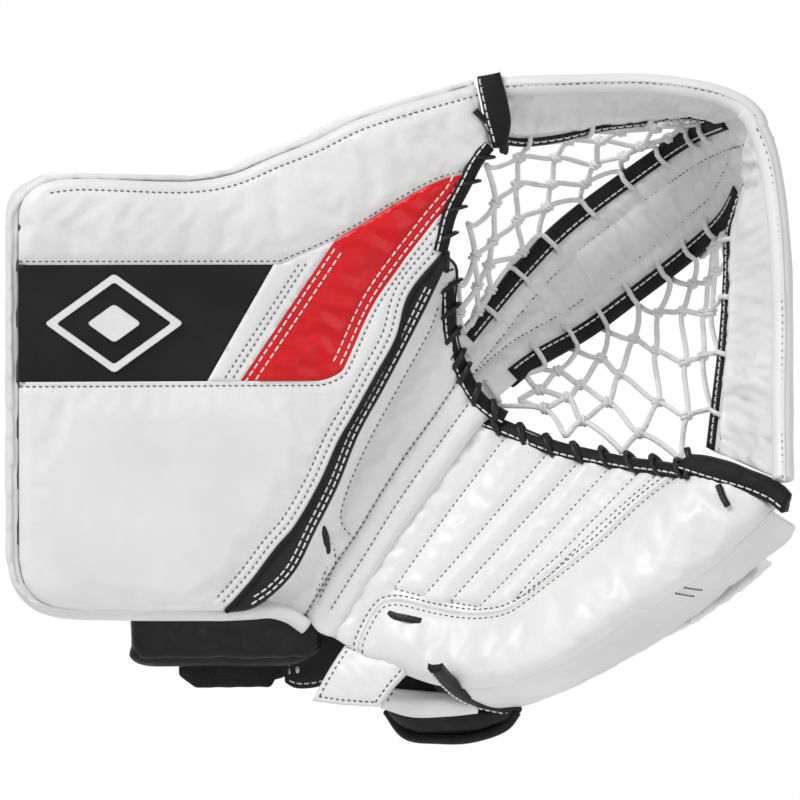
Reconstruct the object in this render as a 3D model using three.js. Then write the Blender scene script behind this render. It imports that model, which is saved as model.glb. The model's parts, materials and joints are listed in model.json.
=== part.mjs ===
// Goalie catch glove, worn on the left hand, standing open as it is carried.
// Millimetres, +Z up, +X toward the finger side, -Y toward the shooter.
// The origin is the middle of the wrist opening, where the hand goes in.
import * as THREE from 'three';

// ---------------------------------------------------------------- driving sizes
const CREASE_HEEL = [38, -45, -23];      // lower end of the crease that the glove closes on
const CREASE_LEAN = 38.5;                // degrees that the crease leans toward the fingers
const PALM_TILT = 26;                    // degrees that the palm turns in from the flat
const THUMB_TILT = 8.5;                  // the same for the thumb and cuff side

const SKIN = 2.5;                        // leather or nylon panel
const GAP = 0.4;                         // clearance between pieces that are sewn face to face
const BOARD = 2;                         // plastic stiffener
const LINING = 2;
const CUFF_FRONT = 2;                    // depth of the cuff's front skin, from the crease line
const CUFF_FOAM = 16;
const PALM_FLAT = 10;                    // depth of the palm's front skin beside the crease
const PALM_RISE = 20;                    // how far the palm swells forward at the finger edge
const PALM_STACK = 25.6;                 // depth where the palm's flat layers start
const BACK_FRONT = 60;                   // depth of the back-of-hand guard
const BACK_FOAM = 10;
const BAND = 8;                          // perimeter band and T-bar thickness
const NET = 3;                           // thickness of a laced net
const BINDING = 4;                       // radius of the bound edges round the pocket
const RIM_ROLL = 6;                      // radius of the rolled rim
const LACE = 2;                          // radius of a flat lace, laid as a round one

// ---------------------------------------------------------------- materials
const finish = (color, roughness, metalness = 0) => (
  new THREE.MeshStandardMaterial({ color, roughness, metalness })
);
const WHITE = finish('#f2f2f0', 0.45);
const BLACK = finish('#17181a', 0.6);
const GLOSS_BLACK = finish('#101113', 0.35);
const RED = finish('#e21a24', 0.3);
const FOAM = finish('#4a4d52', 0.95);
const PLASTIC = finish('#d8dadc', 0.5);
const FABRIC = finish('#26282b', 0.9);
const LACING = finish('#eceff1', 0.7);

// ---------------------------------------------------------------- frames
const glove = new THREE.Group();

function frame(parent, degreesY, degreesZ) {
  const group = new THREE.Group();
  const turn = THREE.MathUtils.degToRad;
  group.rotation.set(0, turn(degreesY), turn(degreesZ));
  parent.add(group);
  return group;
}

const crease = frame(glove, CREASE_LEAN, 0);
crease.position.set(...CREASE_HEEL);
const palm = frame(crease, 0, -PALM_TILT);
const thumb = frame(crease, 0, THUMB_TILT);
const face = frame(thumb, -CREASE_LEAN, 0);

function piece(parent, name, material, geometry) {
  const mesh = new THREE.Mesh(geometry, material);
  mesh.name = name;
  parent.add(mesh);
  return mesh;
}

// ---------------------------------------------------------------- shape helpers
const vector = ([x, y, z]) => new THREE.Vector3(x, y, z);

function smoothCurve(points) {
  return new THREE.CatmullRomCurve3(points.map(vector), false, 'centripetal');
}

// A flat plate: an outline in x and z, with its front at the given depth.
function plate(outline, front, thickness, hole = null) {
  const shape = new THREE.Shape(outline.map(([x, z]) => new THREE.Vector2(x, z)));
  if (hole) {
    shape.holes.push(new THREE.Path(hole.map(([x, z]) => new THREE.Vector2(x, z))));
  }
  const geometry = new THREE.ExtrudeGeometry(shape, { depth: thickness, bevelEnabled: false });
  geometry.rotateX(Math.PI / 2);
  geometry.translate(0, front + thickness, 0);
  return geometry;
}

// An oval tube along a smooth curve.
function tube(points, halfWidth, halfHeight = halfWidth, steps = 24, sides = 8) {
  const section = new THREE.Shape();
  section.absellipse(0, 0, halfWidth, halfHeight, 0, 2 * Math.PI, false, 0);
  const options = { extrudePath: smoothCurve(points), steps, bevelEnabled: false, curveSegments: sides / 2 };
  return new THREE.ExtrudeGeometry(section, options);
}

// A closed solid from two matching grids of points, one for each face.
function closeGrids(front, back) {
  const rows = front.length;
  const cols = front[0].length;
  const positions = [...front.flat(), ...back.flat()].flatMap((p) => [p.x, p.y, p.z]);
  const at = (side, i, j) => side * rows * cols + i * cols + j;
  const index = [];
  const quad = (a, b, c, d) => index.push(a, b, c, a, c, d);
  for (let i = 0; i + 1 < rows; i += 1) {
    for (let j = 0; j + 1 < cols; j += 1) {
      quad(at(0, i, j), at(0, i, j + 1), at(0, i + 1, j + 1), at(0, i + 1, j));
      quad(at(1, i, j), at(1, i + 1, j), at(1, i + 1, j + 1), at(1, i, j + 1));
    }
    quad(at(0, i, 0), at(0, i + 1, 0), at(1, i + 1, 0), at(1, i, 0));
    quad(at(0, i + 1, cols - 1), at(0, i, cols - 1), at(1, i, cols - 1), at(1, i + 1, cols - 1));
  }
  for (let j = 0; j + 1 < cols; j += 1) {
    quad(at(0, 0, j + 1), at(0, 0, j), at(1, 0, j), at(1, 0, j + 1));
    quad(at(0, rows - 1, j), at(0, rows - 1, j + 1), at(1, rows - 1, j + 1), at(1, rows - 1, j));
  }
  const geometry = new THREE.BufferGeometry();
  geometry.setAttribute('position', new THREE.Float32BufferAttribute(positions, 3));
  geometry.setIndex(signedVolume(positions, index) < 0 ? index.reverse() : index);
  return geometry;
}

function signedVolume(positions, index) {
  let volume = 0;
  for (let k = 0; k < index.length; k += 3) {
    const [a, b, c] = [0, 1, 2].map((n) => new THREE.Vector3().fromArray(positions, 3 * index[k + n]));
    volume += a.dot(b.cross(c));
  }
  return volume;
}

// A strip of even thickness between two edge curves, bowed in depth in its middle,
// and lifted off that surface toward the back where several are layered.
function strip(edgeA, edgeB, thickness, { bow = 0, lift = 0, along = 14, across = 4 } = {}) {
  const a = smoothCurve(edgeA);
  const b = smoothCurve(edgeB);
  const middle = [];
  for (let i = 0; i <= along; i += 1) {
    const row = [];
    for (let j = 0; j <= across; j += 1) {
      const s = j / across;
      const point = a.getPoint(i / along).lerp(b.getPoint(i / along), s);
      point.y += bow * 4 * s * (1 - s);
      row.push(point);
    }
    middle.push(row);
  }
  const offset = (sign) => middle.map((row, i) => row.map((point, j) => {
    const before = middle[Math.max(i - 1, 0)][j];
    const after = middle[Math.min(i + 1, along)][j];
    const left = row[Math.max(j - 1, 0)];
    const right = row[Math.min(j + 1, across)];
    const normal = after.clone().sub(before).cross(right.clone().sub(left)).normalize();
    return point.clone().addScaledVector(normal, lift + sign * thickness / 2);
  }));
  return closeGrids(offset(1), offset(-1));
}

// A four-sided patch in x and z, filled in smoothly between its border curves.
function patch(bottom, right, top, left) {
  const [b, r, t, l] = [bottom, right, top, left].map(
    (side) => smoothCurve(side.map(([x, z]) => [x, 0, z])),
  );
  const corner = (u, w) => (w === 0 ? b : t).getPoint(u);
  return (u, w) => {
    const point = b.getPoint(u).multiplyScalar(1 - w).addScaledVector(t.getPoint(u), w);
    point.addScaledVector(l.getPoint(w), 1 - u).addScaledVector(r.getPoint(w), u);
    point.addScaledVector(corner(0, 0), -(1 - u) * (1 - w)).addScaledVector(corner(1, 0), -u * (1 - w));
    point.addScaledVector(corner(0, 1), -(1 - u) * w).addScaledVector(corner(1, 1), -u * w);
    return point;
  };
}

// A layer over a patch, between two depths that may change with x and z.
function layer(surface, front, back, { inset = 0, cols = 10, rows = 10 } = {}) {
  const grid = (depth) => Array.from({ length: rows + 1 }, (_, i) => (
    Array.from({ length: cols + 1 }, (__, j) => {
      const shrink = (s) => inset + s * (1 - 2 * inset);
      const point = surface(shrink(j / cols), shrink(i / rows));
      point.y = depth(point.x, point.z);
      return point;
    })
  ));
  return closeGrids(grid(front), grid(back));
}

const level = (depth) => () => depth;

// ---------------------------------------------------------------- palm side
// The palm's border, from the heel round the finger side to the tip.
const PALM_LEFT = [[-9, 0], [-10, 17], [-11, 50], [-13, 100], [-14, 130]];
const PALM_BOTTOM = [[-9, 0], [18, 5], [45, 15], [77, 38]];
const PALM_RIGHT = [[77, 38], [96, 62], [107, 87], [117, 112], [126, 138], [131, 160], [130, 179]];
const PALM_TOP = [[-14, 130], [18, 138], [37, 146], [56, 154], [86, 168], [108, 175], [130, 179]];
// Where the quilted panel meets the border panel.
const SEAM_BOTTOM = [[-10, 35], [14, 39], [30, 45], [43, 53]];
const SEAM_RIGHT = [[43, 53], [55, 70], [63, 92], [68, 117], [76, 145], [85, 167]];

function palmFront(x) {
  const s = THREE.MathUtils.clamp((x - 30) / 80, 0, 1);
  return PALM_FLAT - PALM_RISE * s * s * (3 - 2 * s);
}

function buildPalm() {
  const under = (depth) => (x) => palmFront(x) + depth;
  const quilted = patch(
    SEAM_BOTTOM,
    SEAM_RIGHT,
    [[-14, 130], [18, 138], [56, 154], [85, 167]],
    [[-10, 35], [-11, 50], [-13, 100], [-14, 130]],
  );
  piece(palm, 'quilted_palm_panel', WHITE, layer(quilted, under(0), under(SKIN), { inset: 0.004 }));
  const outerEdge = [...PALM_BOTTOM, ...PALM_RIGHT.slice(1)];
  const innerEdge = [[-10, 33.5], ...SEAM_BOTTOM.slice(1, 3), [44.5, 52.5], ...SEAM_RIGHT.slice(1, -1), [87, 167.6]];
  const border = patch(outerEdge, [[130, 179], [108, 175], [87, 167.6]], innerEdge, [[-9, 0], [-10, 33.5]]);
  piece(palm, 'palm_border_panel', WHITE, layer(border, under(0), under(SKIN), { cols: 20, rows: 4, inset: 0.004 }));

  const whole = patch(PALM_BOTTOM, PALM_RIGHT, PALM_TOP, PALM_LEFT);
  piece(palm, 'palm_foam', FOAM, layer(whole, under(SKIN + GAP), level(PALM_STACK - GAP), { inset: 0.15 }));
  const boardBack = PALM_STACK + BOARD;
  piece(palm, 'palm_board', PLASTIC, layer(whole, level(PALM_STACK), level(boardBack), { inset: 0.16 }));
  const lining = layer(whole, level(boardBack + GAP), level(boardBack + GAP + LINING), { inset: 0.16 });
  piece(palm, 'palm_lining', FABRIC, lining);
}

// The finger-side wall joins the palm's edge to the guard behind the fingers.
const WALL_FRONT = [[50, 18], [77, 39], [96, 63], [107, 88], [117, 113], [126, 139], [130, 160]]
  .map(([x, z]) => [x, palmFront(x) + SKIN + 1.2, z]);
const WALL_BACK = [[50, 28], [70, 44], [86, 67], [97, 91], [107, 115], [115, 140], [118, 158]]
  .map(([x, z]) => [x, BACK_FRONT - 1, z]);

function buildBackOfHand() {
  piece(palm, 'finger_side_wall', WHITE, strip(WALL_FRONT, WALL_BACK, SKIN, { along: 18, across: 4 }));
  const guard = patch(
    [[-6, 74], [30, 64], [68, 52]],
    [[68, 52], [84, 72], [95, 94], [105, 117], [113, 140], [117, 160]],
    [[-8, 126], [30, 136], [56, 148], [117, 160]],
    [[-6, 74], [-7, 100], [-8, 126]],
  );
  const steps = [
    ['back_lining', FABRIC, LINING, 0.03],
    ['back_foam', FOAM, BACK_FOAM, 0.03],
    ['back_board', PLASTIC, BOARD, 0.05],
    ['back_cover', WHITE, SKIN, 0],
  ];
  let depth = BACK_FRONT + GAP;
  for (const [name, material, thickness, inset] of steps) {
    const slab = layer(guard, level(depth), level(depth + thickness), { inset, cols: 8, rows: 8 });
    piece(palm, name, material, slab);
    depth += thickness + GAP;
  }
  const wallEnd = [[43, 24, 15], [43, 36, 18], [43, 52, 23], [49, 65, 30], [60, 65, 40]];
  piece(palm, 'side_wall_binding', BLACK, tube(wallEnd, 3.5, 3.5, 10));
}

function buildPalmEdges() {
  const edge = [[-2, 8, 137], [20, 7, 144], [41, 2, 152], [61, -4, 161], [86, -10, 173]];
  piece(palm, 'palm_edge_binding', BLACK, tube(edge, BINDING, BINDING, 24));
  const laceRun = edge.map(([x, y, z]) => [x, y - BINDING - LACE - 1, z]);
  piece(palm, 'palm_edge_lace', BLACK, tube(laceRun, LACE, LACE, 20));
  const wrapTop = [[91, -16, 180], [112, -18, 186], [133, -17, 189]];
  const wrapBottom = [[90, -16, 170], [110, -18, 175], [131, -17, 179]];
  piece(palm, 'palm_tip_wrap', BLACK, strip(wrapTop, wrapBottom, 4, { along: 8, across: 3 }));
  const laces = [
    ['tip_lace_inner', [92, -12.6, 158], [96, -12.6, 165]],
    ['tip_lace_outer', [112, -12.6, 161], [118, -12.6, 166]],
    ['heel_lace', [16, 7.2, 28], [29, 7.2, 36]],
  ];
  for (const [name, from, to] of laces) {
    piece(palm, name, BLACK, tube([from, to], LACE, 1.6, 3));
  }
}

// ---------------------------------------------------------------- inside the hand compartment
function arch(width, height, thickness, length) {
  const outer = width / 2;
  const shape = new THREE.Shape();
  shape.moveTo(outer, 0);
  shape.lineTo(outer, height - outer);
  shape.absarc(0, height - outer, outer, 0, Math.PI, false);
  shape.lineTo(-outer, 0);
  shape.lineTo(-outer + thickness, 0);
  shape.lineTo(-outer + thickness, height - outer);
  shape.absarc(0, height - outer, outer - thickness, Math.PI, 0, true);
  shape.lineTo(outer - thickness, 0);
  return new THREE.ExtrudeGeometry(shape, { depth: length, bevelEnabled: false, curveSegments: 10 });
}

// Four soft channels side by side hold the fingers against the palm lining.
function fingerLoops(width, height, length) {
  const wall = 1.5;
  const pitch = (width - wall) / 4;
  const outline = [[width, 0], [width, height], [0, height], [0, 0]];
  for (let finger = 0; finger < 4; finger += 1) {
    const left = wall + finger * pitch;
    const right = left + pitch - wall;
    outline.push([left, 0], [left, height - wall], [right, height - wall], [right, 0]);
  }
  const shape = new THREE.Shape(outline.map(([x, y]) => new THREE.Vector2(x, y)));
  return new THREE.ExtrudeGeometry(shape, { depth: length, bevelEnabled: false });
}

function buildHandCompartment() {
  const liningBack = PALM_STACK + BOARD + LINING + 2 * GAP;
  const loops = piece(palm, 'finger_loops', FABRIC, fingerLoops(96, 24, 18));
  loops.position.set(-2, liningBack, 92);
}

const STRAP = 2.5;

function buildStraps() {
  // Both straps start at the finger-side wall, cross the back of the hand and come back through a ring.
  const straps = [
    { name: 'wrist_strap', z: 0, height: 23, reach: 32, start: -34 },
    { name: 'back_hand_strap', z: 26, height: 20, reach: 34, start: -30 },
  ];
  for (const { name, z, height, reach, start } of straps) {
    const path = [[reach, 50], [reach - 8, 62], [reach - 24, 69], [start + 18, 69], [start + 4, 62], [start, 48]];
    const edge = (level0) => path.map(([x, y]) => [x, y, level0]);
    piece(palm, name, BLACK, strip(edge(z), edge(z + height), STRAP, { along: 16, across: 2 }));
    const tabEdge = (level0) => [[reach - 20, 74, level0], [reach - 34, 74.6, level0], [start + 16, 74.6, level0]];
    const tab = strip(tabEdge(z + 3), tabEdge(z + height - 3), STRAP, { along: 8, across: 2 });
    piece(palm, `${name}_tab`, BLACK, tab);
  }
}

function buildHeel() {
  const flapTop = [[-4, 6, -4], [10, 10, -1], [23, 14, 3]];
  const flapBottom = [[0, 12, -30], [12, 16, -22], [25, 20, -13]];
  piece(palm, 'heel_strap_upper', WHITE, strip(flapTop, flapBottom, 3, { bow: -4, along: 6, across: 4 }));
  const secondTop = [[24, 33, 1], [33, 38, 8], [42, 42, 14]];
  const secondBottom = [[22, 33, -10], [38, 41, 1], [55, 49, 12]];
  piece(palm, 'heel_strap_lower', WHITE, strip(secondTop, secondBottom, 3, { bow: -3, along: 6, across: 4 }));
  const padTop = [[20, 49, -14], [42, 54, 6], [58, 61, 21]];
  const padBottom = [[35, 55, -22], [58, 63, -4], [70, 67, 15]];
  piece(palm, 'heel_pad', BLACK, strip(padTop, padBottom, 9, { bow: -4, along: 8, across: 4 }));
}

// ---------------------------------------------------------------- thumb and cuff side
// The front face, outlined upright: left edge, thumb tip, pocket edge, break edge.
const FACE_LEFT = -158.5;
const PANEL_TOP = 182.5;
const PANEL_BOTTOM = 127;
const TOP_EDGE = [[-158, 206], [-155, 212], [-149, 219], [-140, 224], [-126, 225.5], [-70, 224.5], [-51, 228],
  [-32, 236], [-13, 243.5], [6, 253], [25, 259], [44, 264.5], [63, 269.5]];
const POCKET_EDGE = [[69, 240], [66, 230], [61, 220], [54, 206], [50.5, 192]];
const BREAK_EDGE = [[49, 184], [45, 170], [32, 144], [21, 123], [9, 101], [-1, 76], [-11, 56], [-21, 36],
  [-31, 25], [-47, 17.5]];
const PIPING_INNER = [[47, 187], [33, 167.5], [27, 147], [17, 128.5], [7, 110.5], [0, 98.5], [-10, 76.5],
  [-22, 56], [-29.5, 47.5], [-42, 31.5], [-55, 17]];
const BOTTOM_EDGE = [[-105, 16], [-134, 16.7], [-148, 21], [-156, 30], [-158.5, 42]];
const FACE_OUTLINE = [...TOP_EDGE, ...POCKET_EDGE, ...BREAK_EDGE, ...BOTTOM_EDGE];

// Moves every point of an outline inward, square to the edges that meet there.
function inset(outline, distance) {
  const count = outline.length;
  return outline.map(([x, z], k) => {
    const [x0, z0] = outline[(k + count - 1) % count];
    const [x1, z1] = outline[(k + 1) % count];
    const length = Math.hypot(x1 - x0, z1 - z0);
    return [x + distance * (z1 - z0) / length, z - distance * (x1 - x0) / length];
  });
}

function buildFace() {
  const upper = [[FACE_LEFT, PANEL_TOP + 0.5], ...TOP_EDGE, ...POCKET_EDGE.slice(0, 2), [59.5, 226.5],
    [44, 221], [-3, 194.5], [-29, PANEL_TOP + 0.5]];
  const black = [[FACE_LEFT, PANEL_TOP], [-32.5, PANEL_TOP], [-64, PANEL_BOTTOM], [FACE_LEFT, PANEL_BOTTOM]];
  const stripe = [[-31.9, PANEL_TOP], [-29, PANEL_TOP], [-4, 193.5], [-48.6, PANEL_BOTTOM], [-63.4, PANEL_BOTTOM]];
  const red = [[-3.2, 193.8], [44, 220.4], [58.5, 225.5], [55, 218], [43, 201], [16.5, 165], [3, 133],
    [-4, PANEL_BOTTOM + 1], [-9, PANEL_BOTTOM], [-48, PANEL_BOTTOM]];
  const lower = [[FACE_LEFT, PANEL_BOTTOM - 0.5], [-9, PANEL_BOTTOM - 0.5], [-3, PANEL_BOTTOM + 1], [3.6, 133],
    [17.1, 165], [43.6, 200.8], [55.6, 217.8], [59.5, 225], ...POCKET_EDGE.slice(2), ...PIPING_INNER, ...BOTTOM_EDGE];
  const piping = [[49.5, 188.5], ...BREAK_EDGE, [-54, 17], ...inset(PIPING_INNER, -0.6).reverse().slice(1, -1)];
  const panels = [
    ['face_panel_upper', WHITE, upper],
    ['face_panel_black', BLACK, black],
    ['face_stripe_white', WHITE, stripe],
    ['face_stripe_red', RED, red],
    ['face_panel_lower', WHITE, lower],
    ['break_piping', GLOSS_BLACK, piping],
  ];
  for (const [name, material, outline] of panels) {
    piece(face, name, material, plate(outline, CUFF_FRONT, SKIN));
  }
  // A plain diamond sits where a maker would put a badge.
  const badge = ([cx, cz], reach) => [[cx - reach, cz], [cx, cz + reach * 0.72], [cx + reach, cz], [cx, cz - reach * 0.72]];
  const centre = [-108, (PANEL_TOP + PANEL_BOTTOM) / 2];
  piece(face, 'badge_frame', WHITE, plate(badge(centre, 33), CUFF_FRONT - 1.5, 1.1, badge(centre, 27).reverse()));
  piece(face, 'badge_diamond', WHITE, plate(badge(centre, 13), CUFF_FRONT - 1.5, 1.1));
}

function buildCuffBody() {
  const start = CUFF_FRONT + SKIN + GAP;
  const foamEnd = start + CUFF_FOAM;
  const boardStart = foamEnd + GAP;
  const liningStart = boardStart + BOARD + GAP;
  const liningEnd = liningStart + LINING;
  const outer = FACE_OUTLINE;
  piece(face, 'cuff_side_wall', WHITE, plate(outer, start, liningEnd - start, inset(outer, SKIN).reverse()));
  const inner = inset(outer, SKIN + GAP + 0.4);
  piece(face, 'cuff_foam', FOAM, plate(inner, start, CUFF_FOAM));
  piece(face, 'cuff_board', PLASTIC, plate(inner, boardStart, BOARD));
  piece(face, 'cuff_back_lining', FABRIC, plate(inner, liningStart, LINING));
  return liningEnd + GAP;
}

function buildThumbEdges() {
  const edge = [[76, 5, 236], [68, 4, 222], [61, 4, 207], [57, 4, 192], [55, 5, 182]];
  const shifted = edge.map(([x, y, z]) => [x + 2, y + 2, z]);
  piece(face, 'thumb_edge_binding', BLACK, tube(shifted, BINDING, BINDING, 18));
  const laceRun = shifted.map(([x, y, z]) => [x, y - BINDING - LACE - 1, z]);
  piece(face, 'thumb_edge_lace', BLACK, tube(laceRun, LACE, LACE, 14));
  const wrapLeft = [[63, 0, 276], [65, -2, 262], [68, -2, 248], [72, 0, 234]];
  const wrapRight = [[72, 0, 275], [75, -2, 262], [77.5, -2, 250], [79, 0, 240]];
  piece(face, 'thumb_tip_wrap', BLACK, strip(wrapLeft, wrapRight, 2.4, { along: 8, across: 3 }));
}

function buildThumbStall(backDepth) {
  const stall = piece(thumb, 'thumb_stall', FABRIC, arch(44, 36, 2.5, 64));
  stall.position.set(-114, backDepth, 116);
  const loop = piece(thumb, 'thumb_loop', BLACK, arch(36, 29, 1.5, 16));
  loop.position.set(-114, backDepth, 140);
}

function buildWrist(backDepth) {
  const bolster = [[-97, -4], [-94, -9], [-14, -9], [-8, -4], [-6, 12], [-34, 28], [-34, 60], [-97, 60]];
  piece(face, 'wrist_bolster', GLOSS_BLACK, plate(bolster, backDepth, 14));
  const flap = [[-74, -20], [-66, -26], [-30, -26], [-26, -20], [-26, 40], [-74, 40]];
  piece(face, 'wrist_flap', BLACK, plate(flap, backDepth + 14 + GAP, 4));
}

// ---------------------------------------------------------------- pocket
// Curves of the pocket, in the crease frame: across, in depth, and along the crease.
const RIM_TOP = [[-105, -20, 257], [-85, -22, 274], [-67, -23, 289], [-50, -24, 302], [-25, -26, 316], [-11, -27, 319]];
const RIM_RIGHT = [[-4, -28, 318], [12, -29, 309], [36, -35, 287], [64, -45, 254], [89, -55, 221], [112, -68, 191]];

function inside(points, distance) {
  return points.map(([w, y, t]) => [w, y + distance, t - distance * 0.6]);
}

function buildBands() {
  piece(crease, 'rim_roll_top', WHITE, tube(RIM_TOP, RIM_ROLL, RIM_ROLL, 18));
  piece(crease, 'rim_roll_right', WHITE, tube(RIM_RIGHT, RIM_ROLL, RIM_ROLL, 22));
  const topOuter = inside([[-103, -17, 254], [-85, -19, 271], [-67, -20, 286], [-50, -21, 299], [-27, -22, 312]], 6);
  const topInner = [[-86, 20, 243], [-73, 24, 259], [-60, 27, 274], [-46, 28, 288], [-33, 28, 300]];
  piece(crease, 'perimeter_band_top', WHITE, strip(topOuter, topInner, BAND, { bow: 3 }));
  const rightOuter = [[15, -20, 302], [38, -26, 282], [65, -36, 250], [89, -46, 218], [110, -58, 191]];
  const rightInner = [[28, 25, 268], [38, 19, 252], [52, 8, 228], [66, -5, 203], [77, -16, 184]];
  piece(crease, 'perimeter_band_right', WHITE, strip(rightOuter, rightInner, BAND, { bow: 3 }));
  const bindingTop = topInner.map(([w, y, t]) => [w + 3, y + 8, t - 5]);
  piece(crease, 'band_binding_top', BLACK, tube(bindingTop, 3, 3, 14));
  const bindingRight = rightInner.map(([w, y, t]) => [w - 6, y + 6, t - 4]);
  piece(crease, 'band_binding_right', BLACK, tube(bindingRight, 3, 3, 14));
}

const TBAR_UPPER = [[-30, 24, 146], [-40, 40, 168], [-42, 60, 200], [-40, 72, 228], [-32, 72, 262], [-22, 44, 297], [-15, 4, 314]];
const TBAR_LOWER = [[-2, 26, 150], [-2, 46, 170], [6, 66, 196], [10, 78, 221], [16, 73, 252], [19, 44, 280], [12, 0, 304]];

function mixed(a, b, s) {
  return a.map((point, k) => point.map((value, axis) => value + s * (b[k][axis] - value)));
}

function buildTBar() {
  const edges = [mixed(TBAR_UPPER, TBAR_LOWER, 0.11), mixed(TBAR_UPPER, TBAR_LOWER, 0.89)];
  const layers = [
    ['t_bar_front', WHITE, -3.8, SKIN],
    ['t_bar_core', FOAM, 0, 4],
    ['t_bar_back', WHITE, 3.8, SKIN],
  ];
  for (const [name, material, lift, thickness] of layers) {
    piece(crease, name, material, strip(...edges, thickness, { lift, along: 18, across: 4 }));
  }
  piece(crease, 't_bar_binding_upper', BLACK, tube(TBAR_UPPER.slice(0, -1), 3, 3, 18));
  piece(crease, 't_bar_binding_lower', BLACK, tube(TBAR_LOWER.slice(0, -1), 3, 3, 18));
}

function buildNets() {
  const thumbEdge = [[-80, -4, 226], [-82, 6, 205], [-72, 8, 182], [-56, 10, 160]];
  const upperBar = [[-42, 46, 280], [-45, 64, 256], [-48, 68, 226], [-49, 56, 198]];
  piece(crease, 'net_upper', LACING, strip(thumbEdge, upperBar, NET, { bow: 5, along: 8, across: 4 }));
  const palmEdge = [[14, 11, 151], [27, 3, 155], [40, -4, 160], [54, -12, 168], [64, -16, 174]];
  const lowerBar = [[11, 56, 180], [15, 68, 198], [19, 75, 218], [25, 66, 242], [29, 42, 260]];
  piece(crease, 'net_lower', LACING, strip(palmEdge, lowerBar, NET, { bow: 5, along: 8, across: 4 }));
}

function buildGusset() {
  const breakSide = [[-36, 6, 6], [-38, 6, 18], [-43, 6, 38], [-48, 6, 61], [-55, 7, 87], [-59, 8, 111], [-61, 9, 136]];
  const middle = [[-26, 9, 5], [-26, 9, 18], [-27, 10, 38], [-29, 11, 61], [-32, 13, 87], [-34, 14, 111], [-34, 15, 134]];
  const palmSide = middle.map(([w, y, t]) => [w + 1, y, t]);
  const palmEdge = [[-10, 7, 2], [-10, 8, 18], [-11, 9, 38], [-12, 10, 61], [-12, 11, 87], [-13, 12, 111], [-14, 12, 133]];
  piece(crease, 'break_gusset_thumb', WHITE, strip(breakSide, middle, 3, { along: 14, across: 3 }));
  piece(crease, 'break_gusset_palm', WHITE, strip(palmSide, palmEdge, 3, { along: 14, across: 3 }));
}

buildPalm();
buildBackOfHand();
buildPalmEdges();
buildHandCompartment();
buildStraps();
buildHeel();
buildFace();
const cuffBack = buildCuffBody();
buildThumbEdges();
buildThumbStall(cuffBack);
buildWrist(cuffBack);
buildBands();
buildTBar();
buildNets();
buildGusset();
glove.updateMatrixWorld(true);

export default glove;
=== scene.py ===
import json
import math

import bpy
import numpy as np
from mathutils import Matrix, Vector, geometry, noise


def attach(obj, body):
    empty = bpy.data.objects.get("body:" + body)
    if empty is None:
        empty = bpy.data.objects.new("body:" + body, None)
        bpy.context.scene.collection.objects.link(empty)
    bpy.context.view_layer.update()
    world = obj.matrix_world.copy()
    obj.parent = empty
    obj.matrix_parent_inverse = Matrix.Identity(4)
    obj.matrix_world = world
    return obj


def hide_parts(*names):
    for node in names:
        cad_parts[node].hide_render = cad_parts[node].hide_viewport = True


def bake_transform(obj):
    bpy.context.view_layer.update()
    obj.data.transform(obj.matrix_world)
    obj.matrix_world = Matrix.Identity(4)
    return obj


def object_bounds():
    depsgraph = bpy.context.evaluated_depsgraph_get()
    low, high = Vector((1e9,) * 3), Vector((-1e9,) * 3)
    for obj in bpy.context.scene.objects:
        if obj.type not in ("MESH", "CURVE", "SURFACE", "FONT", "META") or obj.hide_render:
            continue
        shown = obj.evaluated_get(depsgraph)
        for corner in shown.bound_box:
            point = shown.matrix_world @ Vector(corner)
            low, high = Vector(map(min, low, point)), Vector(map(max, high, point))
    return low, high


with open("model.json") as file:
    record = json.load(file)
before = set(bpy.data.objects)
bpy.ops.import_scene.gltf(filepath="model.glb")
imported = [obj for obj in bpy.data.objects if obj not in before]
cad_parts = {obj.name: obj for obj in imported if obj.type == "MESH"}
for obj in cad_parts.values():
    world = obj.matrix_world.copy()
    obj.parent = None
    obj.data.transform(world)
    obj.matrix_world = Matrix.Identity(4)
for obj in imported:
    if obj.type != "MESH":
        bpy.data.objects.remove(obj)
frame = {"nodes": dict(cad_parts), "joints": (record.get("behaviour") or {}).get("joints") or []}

CAD_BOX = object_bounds()

# ------------------------------------------------------------------ frames, in millimetres
MM = 0.001
PALM_TILT = 26.0
THUMB_TILT = 8.5
CUFF_FRONT = 2.0
PALM_FLAT = 10.0
PALM_RISE = 20.0

hinge = next(joint for joint in frame["joints"] if joint["name"] == "close_palm")
HEEL = np.array(hinge["pos_m"]) / MM
LEAN = math.degrees(math.atan2(hinge["axis"][0], hinge["axis"][2]))


def turn_y(degrees):
    c, s = math.cos(math.radians(degrees)), math.sin(math.radians(degrees))
    return np.array([[c, 0, s], [0, 1, 0], [-s, 0, c]])


def turn_z(degrees):
    c, s = math.cos(math.radians(degrees)), math.sin(math.radians(degrees))
    return np.array([[c, -s, 0], [s, c, 0], [0, 0, 1]])


CREASE = turn_y(LEAN)
PALM = CREASE @ turn_z(-PALM_TILT)
THUMB = CREASE @ turn_z(THUMB_TILT)
FACE = THUMB @ turn_y(-LEAN)


def place(basis, points):
    """Points of a local frame as world points, both in millimetres."""
    return np.atleast_2d(np.asarray(points, float)) @ basis.T + HEEL


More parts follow.
